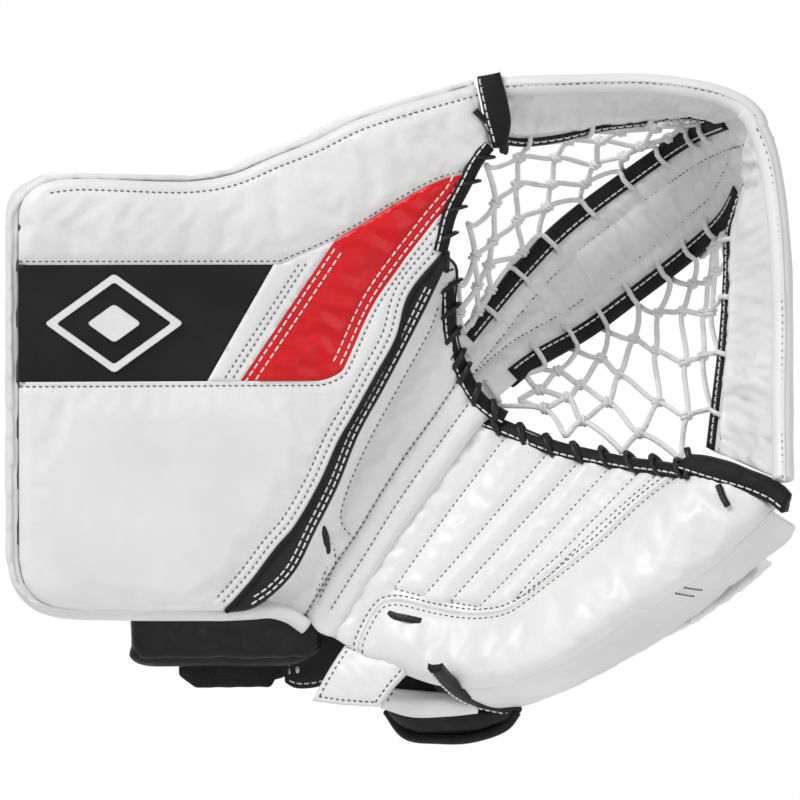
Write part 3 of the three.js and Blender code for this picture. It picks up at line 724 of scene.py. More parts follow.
def build_face_panels():
    left_low = [(FACE_LEFT, 42), (FACE_LEFT, PANEL_BOTTOM)]
    left_mid = [(FACE_LEFT, PANEL_BOTTOM), (FACE_LEFT, PANEL_TOP)]
    left_high = [(FACE_LEFT, PANEL_TOP), (FACE_LEFT, 200)]
    black_right = [(-63.8, PANEL_BOTTOM), (-32.2, PANEL_TOP)]
    top_seam, bottom_seam = trace(SEAM_TOP), trace(SEAM_BOTTOM)
    tip_seam, pocket_seam = trace(TIP_EDGE), trace(POCKET_EDGE)
    inner, red_right = trace(PIPING_INNER), trace(RED_RIGHT)
    above = trace([(FACE_LEFT, PANEL_TOP), (-29, PANEL_TOP)])
    slope = trace([(-29, PANEL_TOP), (-3.2, 193.8), (44, 221), RED_TIP])
    rolled = [top_seam, bottom_seam, trace([(FACE_LEFT, 42), (FACE_LEFT, 200)])]

    def padded_edges(flat):
        height = edge_roll(distance_to(flat, [top_seam]), 11, 4.2)
        height += edge_roll(distance_to(flat, rolled[1:]), 6, 3.6)
        height += edge_roll(distance_to(flat, [pocket_seam]), 8, 2.0)
        return height + edge_roll(distance_to(flat, [inner]), 5, 1.4)

    row_above = np.vstack([parallel(above, 1.6)[:-1], parallel(slope, 1.6)])
    row_top = parallel(trace(SEAM_TOP[3:]), -5.0)
    below = np.vstack([trace([(FACE_LEFT, PANEL_BOTTOM), (-10, PANEL_BOTTOM)])[:-1], red_right[::-1]])
    row_below = parallel(below, -2.2)
    rows_inner = [parallel(inner, -4.0), parallel(inner, -7.6)]

    def relief_upper(flat):
        height = padded_edges(flat)
        height += 1.8 * (1 - np.exp(-distance_to(flat, [above, slope]) / 9))
        height += 0.5 * wrinkle(flat, 26, (2.2, 1), 24, seed=1) * ease(distance_to(flat, [above, slope]) / 12)
        creases = np.abs(wrinkle(flat, 34, (0.5, 1.6), 70, seed=5))
        height -= 0.9 * np.exp(-(creases / 0.05) ** 2) * ease((flat[:, 0] + 20) / 60)
        height += groove(distance_to(flat, [row_above]), 1.3, 0.7)
        return height + groove(distance_to(flat, [row_top]), 1.2, 0.5)

    def relief_lower(flat):
        height = padded_edges(flat)
        height += 1.2 * (1 - np.exp(-distance_to(flat, [below]) / 9))
        height += 0.28 * wrinkle(flat, 30, (1, 2.4), 8, seed=2)
        height += 0.05 * wrinkle(flat, 2.2, (1, 12), 0, seed=3, octaves=1)
        for row in [row_below, *rows_inner]:
            height += groove(distance_to(flat, [row]), 1.3, 0.6)
        return height

    red_rows = [parallel(trace(RED_LEFT), -2.2), parallel(trace(RED_LEFT), -5.8),
                parallel(trace(RED_RIGHT[:6]), -2.2), parallel(trace(RED_RIGHT[:6]), -5.8)]

    def relief_red(flat):
        height = 0.5 * (1 - np.exp(-distance_to(flat, [trace(RED_LEFT), red_right]) / 4))
        height += 0.22 * wrinkle(flat, 22, (1.6, 1), 50, seed=8)
        for row in red_rows:
            height += groove(distance_to(flat, [row]), 1.2, 0.6)
        return height

    stripe_rows = [trace([(-55.5, 128.2), (-19.5, 183.5)]), trace([(-51.6, 128.2), (-15.5, 185)])]

    def relief_stripe(flat):
        height = 0.3 * (1 - np.exp(-distance_to(flat, [trace(RED_LEFT), trace(black_right)]) / 3))
        for row in stripe_rows:
            height += groove(distance_to(flat, [row]), 1.2, 0.5)
        return height

    def relief_black(flat):
        return 0.2 * wrinkle(flat, 20, seed=4) - 0.3

    upper = closed_trace([left_high, SEAM_TOP, TIP_EDGE, POCKET_EDGE[:2], [(66, 230), RED_TIP],
                          [RED_TIP, (44, 221), (-3.2, 193.8), (-29, PANEL_TOP)][0:3],
                          [(-3.2, 193.8), (-29, PANEL_TOP)], [(-29, PANEL_TOP), (FACE_LEFT, PANEL_TOP)]])
    lower = closed_trace([left_low[::-1][::-1], [(FACE_LEFT, PANEL_BOTTOM), (-10, PANEL_BOTTOM)], RED_RIGHT[::-1],
                          [RED_TIP, (66, 230)], POCKET_EDGE[1:], PIPING_INNER, SEAM_BOTTOM])
    black = closed_trace([left_mid, [(FACE_LEFT, PANEL_TOP), (-32.2, PANEL_TOP)], black_right[::-1],
                          [(-63.8, PANEL_BOTTOM), (FACE_LEFT, PANEL_BOTTOM)]])
    stripe = closed_trace([black_right, [(-32.2, PANEL_TOP), (-29, PANEL_TOP)], [(-29, PANEL_TOP), (-3.2, 193.8)],
                           RED_LEFT[::-1], [(-48, PANEL_BOTTOM), (-63.8, PANEL_BOTTOM)]])
    red = closed_trace([RED_LEFT, [(-3.2, 193.8), (44, 221), RED_TIP], RED_RIGHT, [(-10, PANEL_BOTTOM), (-48, PANEL_BOTTOM)]])
    made = [
        ("face_panel_upper", upper, relief_upper, WHITE, "white_leather", [row_above, row_top]),
        ("face_panel_lower", lower, relief_lower, WHITE, "white_leather", [row_below, *rows_inner]),
        ("face_panel_black", black, relief_black, BLACK, "black_leather", []),
        ("face_stripe_white", stripe, relief_stripe, WHITE, "white_leather", stripe_rows),
        ("face_stripe_red", red, relief_red, RED, "red_leather", red_rows),
    ]
    for name, outline, relief, material, slot, seams in made:
        loose_cloth = {"face_panel_upper": 0.02, "face_panel_lower": 0.012, "face_stripe_red": 0.02}
        piece = panel(name + "_skin", face_surface, outline, relief, 2.0, material, seams=seams,
                      slack=loose_cloth.get(name, 0.0), press=0.6)
        fit(piece, "thumb_side", slot, name)

    # The dark stitch rows are painted shade: dark dots for the shaded stitch holes of the pale thread.
    dark = []
    for row, relief in [(row_above, relief_upper), (row_top, relief_upper), (row_below, relief_lower),
                        (rows_inner[0], relief_lower), (rows_inner[1], relief_lower),
                        (stripe_rows[0], relief_stripe), (stripe_rows[1], relief_stripe)]:
        dark += stitch_paths(face_surface, row, relief)
    fit(cord_object("face_stitching_painted_shade", dark, (0.34, 0.3), STITCH_HOLE_SHADE), "thumb_side", "black_lace")
    pale = []
    for row in red_rows:
        pale += stitch_paths(face_surface, row, relief_red, WHITE_ROW)
    fit(cord_object("face_stitching_white", pale, (0.45, 0.38), THREAD_WHITE), "thumb_side", "white_lace")


# ------------------------------------------------------------------ strips between two edges
class Ribbon:
    """A surface between two edge curves. Its flat coordinates are millimetres along it and
    away from its first edge; where the second is below -50 it counts from the other edge."""

    FROM_B = -100.0

    def __init__(self, basis, edge_a, edge_b, bow=0.0, step=2.6, back=False):
        a, b = trace(edge_a), trace(edge_b)
        rows = int(max(arc_length(a)[-1], arc_length(b)[-1]) / step) + 2
        a, b = resample_count(edge_a, rows), resample_count(edge_b, rows)
        self.width = np.linalg.norm(a - b, axis=1) + 1e-6
        cols = int(self.width.max() / step) + 2
        share = np.linspace(0, 1, cols)[None, :, None]
        grid = a[:, None] * (1 - share) + b[:, None] * share
        grid[:, :, 1] += bow * 4 * share[:, :, 0] * (1 - share[:, :, 0])
        self.grid = place(basis, grid.reshape(-1, 3)).reshape(grid.shape)
        normal = np.cross(np.gradient(self.grid, axis=0), np.gradient(self.grid, axis=1))
        normal /= np.linalg.norm(normal, axis=2)[:, :, None] + 1e-9
        if (normal[:, :, 1].mean() > 0) != back:
            normal = -normal
        self.normal = normal
        self.along = arc_length(self.grid[:, cols // 2])
        self.rows, self.cols = rows, cols
        self.length = self.along[-1]

    def measures(self):
        """Millimetres along and from each edge, at every grid point."""
        share = np.linspace(0, 1, self.cols)[None, :]
        from_a = share * self.width[:, None]
        from_b = (1 - share) * self.width[:, None]
        return np.repeat(self.along[:, None], self.cols, 1), from_a, from_b

    def __call__(self, ab, height=0.0):
        ab = np.atleast_2d(np.asarray(ab, float))
        row = np.interp(ab[:, 0], self.along, np.arange(self.rows))
        width = np.interp(row, np.arange(self.rows), self.width)
        from_a = ab[:, 1]
        counted_back = from_a < -50
        from_a = np.where(counted_back, width - (from_a - self.FROM_B), from_a)
        col = from_a / width * (self.cols - 1)
        i = np.clip(np.floor(row).astype(int), 0, self.rows - 2)
        j = np.clip(np.floor(col).astype(int), 0, self.cols - 2)
        p, q = (row - i)[:, None], (col - j)[:, None]

        def mix(g):
            return ((g[i, j] * (1 - p) + g[i + 1, j] * p) * (1 - q)
                    + (g[i, j + 1] * (1 - p) + g[i + 1, j + 1] * p) * q)

        return mix(self.grid) + mix(self.normal) * np.reshape(height, (-1, 1))

    def line(self, away, start=0.0, end=None):
        """A flat line along the strip, at one distance from its first edge."""
        end = self.length if end is None else end
        s = np.linspace(start, end, max(2, int((end - start) / 2)))
        return np.column_stack([s, np.full(len(s), float(away))])

    def line_b(self, away, start=0.0, end=None):
        return self.line(self.FROM_B + away, start, end)

    def sheet(self, name, relief, thickness, material, thin_edge=0.0, slack=0.0, press=0.0, held=None):
        """A closed sheet whose front has a relief(along, from_a, from_b). It thins out over
        thin_edge millimetres toward its first edge."""
        height = relief(*self.measures())
        if thin_edge:
            thickness = 0.8 + (thickness - 0.8) * ease(self.measures()[1] / thin_edge)
        front = self.grid + self.normal * height[:, :, None]
        if slack:
            corners = [(i * self.cols + j, (i + 1) * self.cols + j, (i + 1) * self.cols + j + 1, i * self.cols + j + 1)
                       for i in range(self.rows - 1) for j in range(self.cols - 1)]
            kept = held(*self.measures()).ravel()
            front = drape(front.reshape(-1, 3), corners, kept, slack, press).reshape(front.shape)
        back = self.grid - self.normal * (thickness - np.minimum(height, 0))[:, :, None]
        return closed_grids(name, front, back, material)


def closed_grids(name, front, back, material):
    rows, cols = front.shape[:2]
    points = np.vstack([front.reshape(-1, 3), back.reshape(-1, 3)])
    half = rows * cols
    faces = []
    for i in range(rows - 1):
        for j in range(cols - 1):
            a, b = i * cols + j, (i + 1) * cols + j
            faces.append((a, b, b + 1, a + 1))
            faces.append((a + half, a + 1 + half, b + 1 + half, b + half))
    rim = [j for j in range(cols)]
    rim += [i * cols + cols - 1 for i in range(1, rows)]
    rim += [(rows - 1) * cols + j for j in range(cols - 2, -1, -1)]
    rim += [i * cols for i in range(rows - 2, 0, -1)]
    for a, b in zip(rim, rim[1:] + rim[:1]):
        faces.append((a, b, b + half, a + half))
    return fix_normals(make_object(name, points, faces, material))


def profile_strip(name, surface, profile, line, material, widen=None):
    """A closed section swept along a flat line of a surface. The profile holds pairs of
    millimetres: sideways from the line and up from the surface. widen scales the first."""
    flat = resample(line, np.arange(0, arc_length(line)[-1] + 1.9, 2.0).clip(max=arc_length(line)[-1]))
    scale = widen(flat) if widen else np.ones(len(flat))
    rings = []
    for away, up in profile:
        rings.append(surface(parallel(flat, away * scale), up))
    grid = np.stack(rings, axis=1)
    rows, cols = grid.shape[:2]
    faces = []
    for i in range(rows - 1):
        for j in range(cols):
            n = (j + 1) % cols
            faces.append((i * cols + j, i * cols + n, (i + 1) * cols + n, (i + 1) * cols + j))
    faces.append(tuple(reversed(range(cols))))
    faces.append(tuple((rows - 1) * cols + j for j in range(cols)))
    return fix_normals(make_object(name, grid.reshape(-1, 3), faces, material))


def tape_profile(width, thickness, gap=1.3):
    """A binding folded over the edge of a sheet, which lies to the left of the line."""
    under = -thickness
    return [(width, 0.1), (width - 0.4, gap), (width * 0.5, gap + 0.5), (0.5, gap + 0.2), (-1.3, 0.0),
            (-1.6, under / 2), (-1.3, under), (0.5, under - gap), (width * 0.5, under - gap - 0.4),
            (width - 0.4, under - gap), (width, under - 0.1)]


def bind_edge(name, ribbon, edge, width, thickness, material, start=0.0, end=None):
    """A folded binding along the first or second edge of a strip."""
    rings = []
    s = ribbon.line(0, start, end)[:, 0]
    for away, up in tape_profile(width, thickness):
        column = away if edge == "a" else Ribbon.FROM_B + away
        rings.append(ribbon(np.column_stack([s, np.full(len(s), column)]), up))
    grid = np.stack(rings, axis=1)
    rows, cols = grid.shape[:2]
    faces = []
    for i in range(rows - 1):
        for j in range(cols):
            n = (j + 1) % cols
            faces.append((i * cols + j, i * cols + n, (i + 1) * cols + n, (i + 1) * cols + j))
    faces.append(tuple(reversed(range(cols))))
    faces.append(tuple((rows - 1) * cols + j for j in range(cols)))
    return fix_normals(make_object(name, grid.reshape(-1, 3), faces, material))


def ribbon_stitches(ribbon, relief, rows, spacing=SHADE_DOT_ROW):
    """Stitches on a strip, lying on its relief, along flat lines of it."""
    def lift(flat):
        width = np.interp(flat[:, 0], ribbon.along, ribbon.width)
        back = flat[:, 1] < -50
        from_a = np.where(back, width - (flat[:, 1] - Ribbon.FROM_B), flat[:, 1])
        return relief(flat[:, 0], from_a, width - from_a)

    paths = []
    for row in rows:
        paths += stitch_paths(ribbon, row, lift, spacing)
    return paths


def smooth_path(points, step=2.0):
    return trace(points, step)


def wrap_rings(path, radius, pitch, slant, first=0.5):
    """Closed turns of lace around a path, leaning along it."""
    path = np.asarray(path, float)
    s = arc_length(path)
    rings = []
    for at in np.arange(pitch * first, s[-1], pitch):
        centre = resample(path, [at])[0]
        tangent = resample(path, [min(at + 1, s[-1])])[0] - resample(path, [max(at - 1, 0)])[0]
        tangent /= np.linalg.norm(tangent)
        up = np.array([0, -1.0, 0])
        up -= tangent * (tangent @ up)
        up /= np.linalg.norm(up)
        side = np.cross(tangent, up)
        turn = np.linspace(0, 2 * math.pi, 18, endpoint=False)
        rings.append(centre + radius * (np.outer(np.cos(turn), side) + np.outer(np.sin(turn), up))
                     + slant * np.outer(np.cos(turn), tangent))
    return rings


def loose(path, amount, seed):
    """A path with small waves, as a lace lies."""
    path = np.asarray(path, float)
    rng = np.random.default_rng(seed)
    phase = rng.uniform(0, 6.28, 3)
    s = arc_length(path)[:, None]
    waves = np.sin(s / np.array([[7.0, 11.0, 9.0]]) + phase)
    return path + amount * waves


# ------------------------------------------------------------------ softened CAD pieces
def local(basis, points):
    return (np.asarray(points) - HEEL) @ basis


def soften(node, material, voxel=1.5, passes=8, swell=0.4, crumple=0.5, size=16.0, seed=1):
    """The CAD piece with rounded edges, a padded swell and soft creases."""
    source = frame["nodes"][node]
    piece = bpy.data.objects.new(node + "_soft", source.data.copy())
    bpy.context.scene.collection.objects.link(piece)
    remesh = piece.modifiers.new("remesh", "REMESH")
    remesh.mode = "VOXEL"
    remesh.voxel_size = voxel * MM
    smooth = piece.modifiers.new("smooth", "SMOOTH")
    smooth.factor = 0.5
    smooth.iterations = passes
    with bpy.context.temp_override(object=piece, active_object=piece, selected_objects=[piece]):
        bpy.context.view_layer.objects.active = piece
        bpy.ops.object.modifier_apply(modifier="remesh")
        bpy.ops.object.modifier_apply(modifier="smooth")
    mesh = piece.data
    count = len(mesh.vertices)
    points = np.empty(count * 3)
    mesh.vertices.foreach_get("co", points)
    points = points.reshape(-1, 3)
    normals = np.array([v.normal for v in mesh.vertices])
    bumps = np.array([
        noise.fractal(Vector(p / MM / size + seed * 3.1), 0.7, 2.1, 3) for p in points
    ])
    points += normals * ((swell + crumple * bumps) * MM)[:, None]
    mesh.vertices.foreach_set("co", points.ravel())
    mesh.materials.clear()
    mesh.materials.append(material)
    mesh.polygons.foreach_set("use_smooth", [True] * len(mesh.polygons))
    mesh.update()
    return piece


def sewn(pieces, basis, lines, name, material, back=False, lift=0.25, pitch=3.6, length=2.6, thick=0.42):
    """Stitches laid on pieces along flat lines of a frame, seen along that frame's depth."""
    from mathutils.bvhtree import BVHTree
    trees = []
    for piece in pieces:
        vertices = [tuple(v) for v in local(basis, np.array([v.co for v in piece.data.vertices]) / MM)]
        trees.append(BVHTree.FromPolygons(vertices, [tuple(f.vertices) for f in piece.data.polygons]))
    side = 1 if back else -1
    paths = []
    for line in lines:
        line = trace(line)
        total = arc_length(line)[-1]
        for start in np.arange(0.4, total - length, pitch):
            flat = resample(line, start + np.array([0, 0.12, 0.5, 0.88, 1]) * length)
            path = []
            for (x, z), up in zip(flat, (-0.5, 0.12, 0.34, 0.12, -0.5)):
                found = None
                for tree in trees:
                    hit = tree.ray_cast(Vector((x, 400 * side, z)), Vector((0, -side, 0)))
                    if hit[0] is not None and (found is None or hit[0].y * side > found.y * side):
                        found = hit[0]
                if found is None:
                    break
                path.append((x, found.y + side * (up + lift - 0.1), z))
            if len(path) == 5 and max(p[1] for p in path) - min(p[1] for p in path) < 2.5:
                paths.append(place(basis, path))
    if not paths:
        return None
    return cord_object(name, paths, (thick, thick * 0.85), material)


# ------------------------------------------------------------------ cuff edge, badge and piping
def build_cuff():
    wall = soften("cuff_side_wall", WHITE_SIDE, voxel=1.3, passes=6, swell=0.5, crumple=0.5, size=22)
    fit(wall, "thumb_side", "white_leather", "cuff_side_wall")
    front = closed_trace([[(FACE_LEFT, 42), (FACE_LEFT, 200)], SEAM_TOP, TIP_EDGE, POCKET_EDGE,
                          PIPING_INNER, SEAM_BOTTOM])
    outer = [trace([(FACE_LEFT, 42), (FACE_LEFT, 200)])[:-1], trace(SEAM_TOP), ]
    gusset_line = np.vstack([trace([(-14, 9), (-22, 14.5), (-32, 17.5), (-42, 17), (-55, 16.5)])[:-1], trace(SEAM_BOTTOM)[:-1], *outer])
    edge_roll_profile = [(-1.2, -4.2), (0.4, -3.0), (2.4, -3.1), (4.3, -4.6), (5.4, -8), (5.8, -13), (5.6, -19),
                         (4.0, -23), (0.0, -23.5), (-1.6, -14), (-1.6, -7)]

    def reach(flat):
        top = ease((flat[:, 1] - 203) / 14) * ease((flat[:, 0] + 153) / 8)
        bottom = ease((36 - flat[:, 1]) / 14)
        return 1.0 - 0.42 * top + 0.08 * bottom

    skirt = profile_strip("cuff_edge_roll", Flat(FACE, CUFF_FRONT + 0.8), edge_roll_profile, gusset_line, WHITE_SIDE, reach)
    fit(skirt, "thumb_side", "white_leather")
    fit(soften("cuff_foam", FOAM, voxel=2.4, passes=3, swell=-0.4, crumple=0.2), "thumb_side", "foam", "cuff_foam")
    lining = soften("cuff_back_lining", LINING, voxel=1.8, passes=4, swell=0.2, crumple=0.5)
    fit(lining, "thumb_side", "lining", "cuff_back_lining")
    fit(soften("cuff_board", PLASTIC, voxel=2.0, passes=2, swell=-0.1, crumple=0.05), "thumb_side", "stiffener",
        "cuff_board")
    lines = [[(-146, 48), (-146, 196)], [(-140, 210), (-60, 214)], [(-140, 26), (-70, 24)]]
    quilting = [[(-140 + 30 * k, 40), (-140 + 30 * k, 205)] for k in range(1, 4)]
    fit(sewn([lining], FACE, lines + quilting, "cuff_lining_stitching", THREAD_WHITE, back=True),
        "thumb_side", "white_lace")
    return front


def build_piping():
    outline = closed_trace([PIPING_INNER, BREAK_EDGE[::-1]])

    def relief(flat):
        height = edge_roll(distance_to(flat, [trace(BREAK_EDGE)]), 1.8, 1.6)
        height += edge_roll(distance_to(flat, [trace(PIPING_INNER)]), 2, 0.8)
        height += 0.25 * wrinkle(flat, 14, seed=6)
        for row in rows:
            height += groove(distance_to(flat, [row]), 1.0, 0.4)
        return height

    spine = trace(BREAK_EDGE[2:-1])
    rows = [parallel(spine, -2.2), parallel(spine, -4.6)]
    piece = panel("break_piping_skin", face_surface, outline, relief, 2.0, CHARCOAL, seams=rows, spacing=2.2)
    fit(piece, "thumb_side", "black_leather", "break_piping")
    paths = []
    for row in rows:
        inside = points_inside(row, outline)
        if inside.sum() > 2:
            paths += stitch_paths(face_surface, row[inside], relief, WHITE_ROW)
    fit(cord_object("break_piping_stitching", paths, (0.45, 0.38), THREAD_WHITE), "thumb_side", "white_lace")
    inner_cord = [face_surface(parallel(trace(PIPING_INNER), 0.3), 0.4)]
    fit(cord_object("break_piping_welt", inner_cord, (1.3, 1.1), BINDING), "thumb_side", "black_binding")


BADGE_AT = (-108.0, 154.75)
BADGE_SQUASH = 0.72


def diamond(reach, radius):
    """A diamond about the badge's middle, with softened corners."""
    corners = np.array([(reach, 0), (0, reach * BADGE_SQUASH), (-reach, 0), (0, -reach * BADGE_SQUASH)])
    points = []
    for before, corner, after in zip(np.roll(corners, 1, 0), corners, np.roll(corners, -1, 0)):
        start = corner + (before - corner) / np.linalg.norm(before - corner) * radius
        end = corner + (after - corner) / np.linalg.norm(after - corner) * radius
        for t in np.linspace(0, 1, 6):
            points.append((1 - t) ** 2 * start + 2 * t * (1 - t) * corner + t * t * end)
    return np.array(points) + BADGE_AT


def build_badge():
    for name, outer, inner in [("badge_frame", 33, 27), ("badge_diamond", 13, None)]:
        ring = diamond(outer, 2.2)
        low = face_surface(ring, 0.2)
        high = face_surface(BADGE_AT + (ring - BADGE_AT) * (1 - 0.5 / outer), 1.5)
        count = len(ring)
        if inner:
            hole = diamond(inner, 1.6)
            hole_high = face_surface(BADGE_AT + (hole - BADGE_AT) * (1 + 0.5 / inner), 1.5)
            grid = np.stack([low, high, hole_high, face_surface(hole, 0.2)], axis=1)
            faces = []
            for i in range(count):
                n = (i + 1) % count
                for j in range(4):
                    m = (j + 1) % 4
                    faces.append((i * 4 + j, n * 4 + j, n * 4 + m, i * 4 + m))
            piece = make_object(name + "_raised", grid.reshape(-1, 3), faces, BADGE, smooth=False)
        else:
            faces = [tuple(range(count)), tuple(reversed(range(count, 2 * count)))]
            faces += [(i, (i + 1) % count, (i + 1) % count + count, i + count) for i in range(count)]
            piece = make_object(name + "_raised", np.vstack([low, high]), faces, BADGE, smooth=False)
        fit(fix_normals(piece), "thumb_side", "badge_white", name)


# ------------------------------------------------------------------ the break, between cuff and palm
BREAK_SIDE = [(-76, 177), (-75, 161), (-73, 136), (-68, 109), (-63, 75), (-60, 37), (-57, 14), (-54, 0)]
FOLD_LINE = [(-3, 1), (-5, 15), (-6.5, 29), (-9.5, 52), (-11, 90), (-11.5, 129), (-6, 136.5)]
MIDDLE_LINE = [(-22, 1), (-26, 30), (-27, 46), (-30, 70), (-32, 91), (-33, 115), (-35, 141.5)]
BREAK_ROWS = {
    "first": [(-64, 156), (-61, 148), (-55, 115), (-50, 86), (-44, 62), (-38, 48), (-33, 44.5), (-28, 44)],
    "third": [(-14, 10), (-18, 45), (-21, 72), (-23, 110), (-24, 137)],
}
HINGE_THUMB = ((-44, 20, 200), (-74, 20, 191))
HINGE_BREAK = ((-30, 10, 80), (-56, 10, 80))
HINGE_PALM = ((2, 10, 80), (-24, 10, 80))


def gusset_depth(w, t):
    return 11.5 + 2.0 * np.exp(-((w + 33) / 12) ** 2) - 4.0 * ease((-w - 42) / 26)


break_surface = Flat(CREASE, gusset_depth)


def build_break():
    first, third = trace(BREAK_ROWS["first"]), trace(BREAK_ROWS["third"])
    middle, fold = trace(MIDDLE_LINE), trace(FOLD_LINE)
    top = trace([(-76, 177), (-70, 176), (-60, 163), (-51, 152.5), (-43, 146), (-35, 141.5)])
    top_palm = trace([(-35, 141.5), (-27, 137.5), (-19, 135.5), (-12, 135.5), (-6, 136.5)])
    heel_rows = [trace([(-42, 40), (-34, 36), (-27, 30), (-21, 9)]), trace([(-42, 37), (-35, 33), (-29, 27), (-24, 8)])]

    def relief(flat):
        near = np.minimum(distance_to(flat, [first, third]), distance_to(flat, [middle]))
        height = 2.6 * (1 - np.exp(-near / 8))
        height += edge_roll(distance_to(flat, [fold]), 6, 4.0)
        height += 0.45 * wrinkle(flat, 16, (1, 2.6), -12, seed=11) * ease(near / 6)
        height += groove(distance_to(flat, [first, third, middle]), 1.2, 0.9)
        return height + groove(distance_to(flat, heel_rows), 1.0, 0.7)

    thumb_outline = np.vstack([trace(BREAK_SIDE)[::-1][:-1], top[:-1], middle[::-1][:-1], trace([(-22, 1), (-30, -5), (-42, -6), (-54, 0)])[:-1]])
    palm_outline = np.vstack([middle[:-1], top_palm[:-1], fold[::-1][:-1], trace([(-3, 1), (-12, -2), (-22, 1)])[:-1]])
    seams = [first, third, *heel_rows]
    thumb_part = panel("break_gusset_thumb_skin", break_surface, thumb_outline, relief, 2.0, WHITE,
                       seams=[first], spacing=2.4, slack=0.025, press=0.8)
    bend(thumb_part, ("pocket", "thumb_side"), *HINGE_BREAK, "white_leather", "break_gusset_thumb")
    palm_part = panel("break_gusset_palm_skin", break_surface, palm_outline, relief, 2.0, WHITE,
                      seams=[third, *heel_rows], spacing=2.4, slack=0.025, press=0.8)
    bend(palm_part, ("palm_side", "pocket"), *HINGE_PALM, "white_leather", "break_gusset_palm")
    # Dark stitch dots here and below paint the shade in the stitch holes of the pale thread.
    paths = stitch_paths(break_surface, first, relief)
    bend(cord_object("break_thumb_stitching", paths, (0.34, 0.3), STITCH_HOLE_SHADE), ("pocket", "thumb_side"),
         *HINGE_BREAK, "black_lace")
    paths = []
    for row in [third, middle, *heel_rows]:
        paths += stitch_paths(break_surface, row, relief)
    bend(cord_object("break_palm_stitching", paths, (0.34, 0.3), STITCH_HOLE_SHADE), ("palm_side", "pocket"),
         *HINGE_PALM, "black_lace")
    turn = trace([(-43, 39), (-38, 36), (-31, 29.5)])
    lace = break_surface(turn, relief(turn) - 0.6 + 2.0 * np.sin(np.linspace(0.15, math.pi - 0.15, len(turn))))
    bend(cord_object("break_lace_turn", [lace], (1.7, 1.1), LACE_BLACK), ("pocket", "thumb_side"),
         *HINGE_BREAK, "black_lace")
    laced_break_edge(top, "thumb", ("pocket", "thumb_side"), HINGE_THUMB)
    laced_break_edge(top_palm, "palm", ("palm_side", "pocket"), HINGE_PALM)


def laced_break_edge(edge, label, bodies, hinge_line):
    """The bound and laced pocket edge of the break."""
    tape = profile_strip("break_binding_" + label, break_surface, tape_profile(6.0, 2.5, 2.2), edge[::-1], BINDING)
    bend(tape, bodies, *hinge_line, "black_binding")
    path = break_surface(parallel(edge[::-1], 1.6), 0.4)
    rings = wrap_rings(path, 4.0, 12.0, 3.4)
    turns = fix_normals(make_object("break_lace_turns_" + label, *sweep(rings, (1.7, 1.0), closed_path=True), LACE_BLACK))
    bend(turns, bodies, *hinge_line, "black_lace")
    stitches = stitch_paths(break_surface, parallel(edge[::-1], 4.5), 2.8, WHITE_ROW)
    bend(cord_object("break_binding_stitching_" + label, stitches, (0.42, 0.36), THREAD_WHITE), bodies, *hinge_line,
         "white_lace")


# ------------------------------------------------------------------ palm
PALM_LEFT = [(-12, 0), (-20, 17), (-23, 50), (-24, 100), (-22, 129)]
PALM_BOTTOM = [(-12, 0), (0, 1), (18, 5), (32, 9.5), (45, 15), (61, 25), (77, 38)]
PALM_RIGHT = [(77, 38), (96, 62), (107, 87), (117, 112), (126, 138), (131, 160), (133, 179)]
PALM_TOP = [(-22, 129), (-10, 132.5), (0, 135), (18, 140), (37, 148), (56, 156), (71, 163), (86, 169), (108, 176), (133, 179)]
BOUNDARY = [(5, 2), (2, 8), (-1, 27), (4, 33), (21, 41), (33, 47), (44, 54), (54, 64), (60, 81), (70, 115), (76, 146),
            (84, 168)]
QUILT_ROWS = [
    [(-1, 37), (-2, 52), (-3.5, 77), (-5, 133)],
    [(-1, 37), (13.5, 43)],
    [(13.5, 43), (14.5, 58), (15.5, 78), (18, 139)],
    [(26.5, 49), (27.2, 62), (28.5, 79), (34, 146)],
    [(26.5, 49), (40, 56)],
    [(40, 56), (42, 72), (44, 92), (49, 152)],
    [(53, 70), (54.5, 86), (57, 99), (64, 158)],
    [(53, 70), (57.5, 78)],
    [(57.5, 78), (61, 96), (65, 122), (74, 163)],
]


def palm_depth(x, z):
    base = PALM_FLAT - PALM_RISE * ease((x - 30) / 80)
    hollow = 1.6 * np.exp(-((x - 72) / 22) ** 2) * ease(z / 60)
    return base + hollow


palm_surface = Flat(PALM, palm_depth)
palm_rows = [trace(row) for row in QUILT_ROWS]


def palm_relief(flat):
    boundary = trace(BOUNDARY)
    near = distance_to(flat, palm_rows + [boundary])
    inside = points_inside(flat, np.vstack([boundary, [(-24, 132), (-24, 0)]]))
    height = np.where(inside, 2.4 * (1 - np.exp(-near / 6.0)), 3.4 * (1 - np.exp(-near / 9.0)))
    outer = [trace(PALM_BOTTOM[2:]), trace(PALM_RIGHT)]
    height += edge_roll(distance_to(flat, outer), 15, 9.0)
    height += edge_roll(distance_to(flat, [trace(PALM_BOTTOM)]), 5, 3.0)
    soft = ease(near / 8)
    height += 0.5 * wrinkle(flat, 22, (1, 2.0), -20, seed=21) * soft
    height += 0.06 * wrinkle(flat, 3.0, (1, 5), 0, seed=22, octaves=1)
    for row in palm_rows + [parallel(boundary, -2.0), parallel(boundary, 2.6)]:
        height += groove(distance_to(flat, [row]), 1.1, 0.8)
    return height


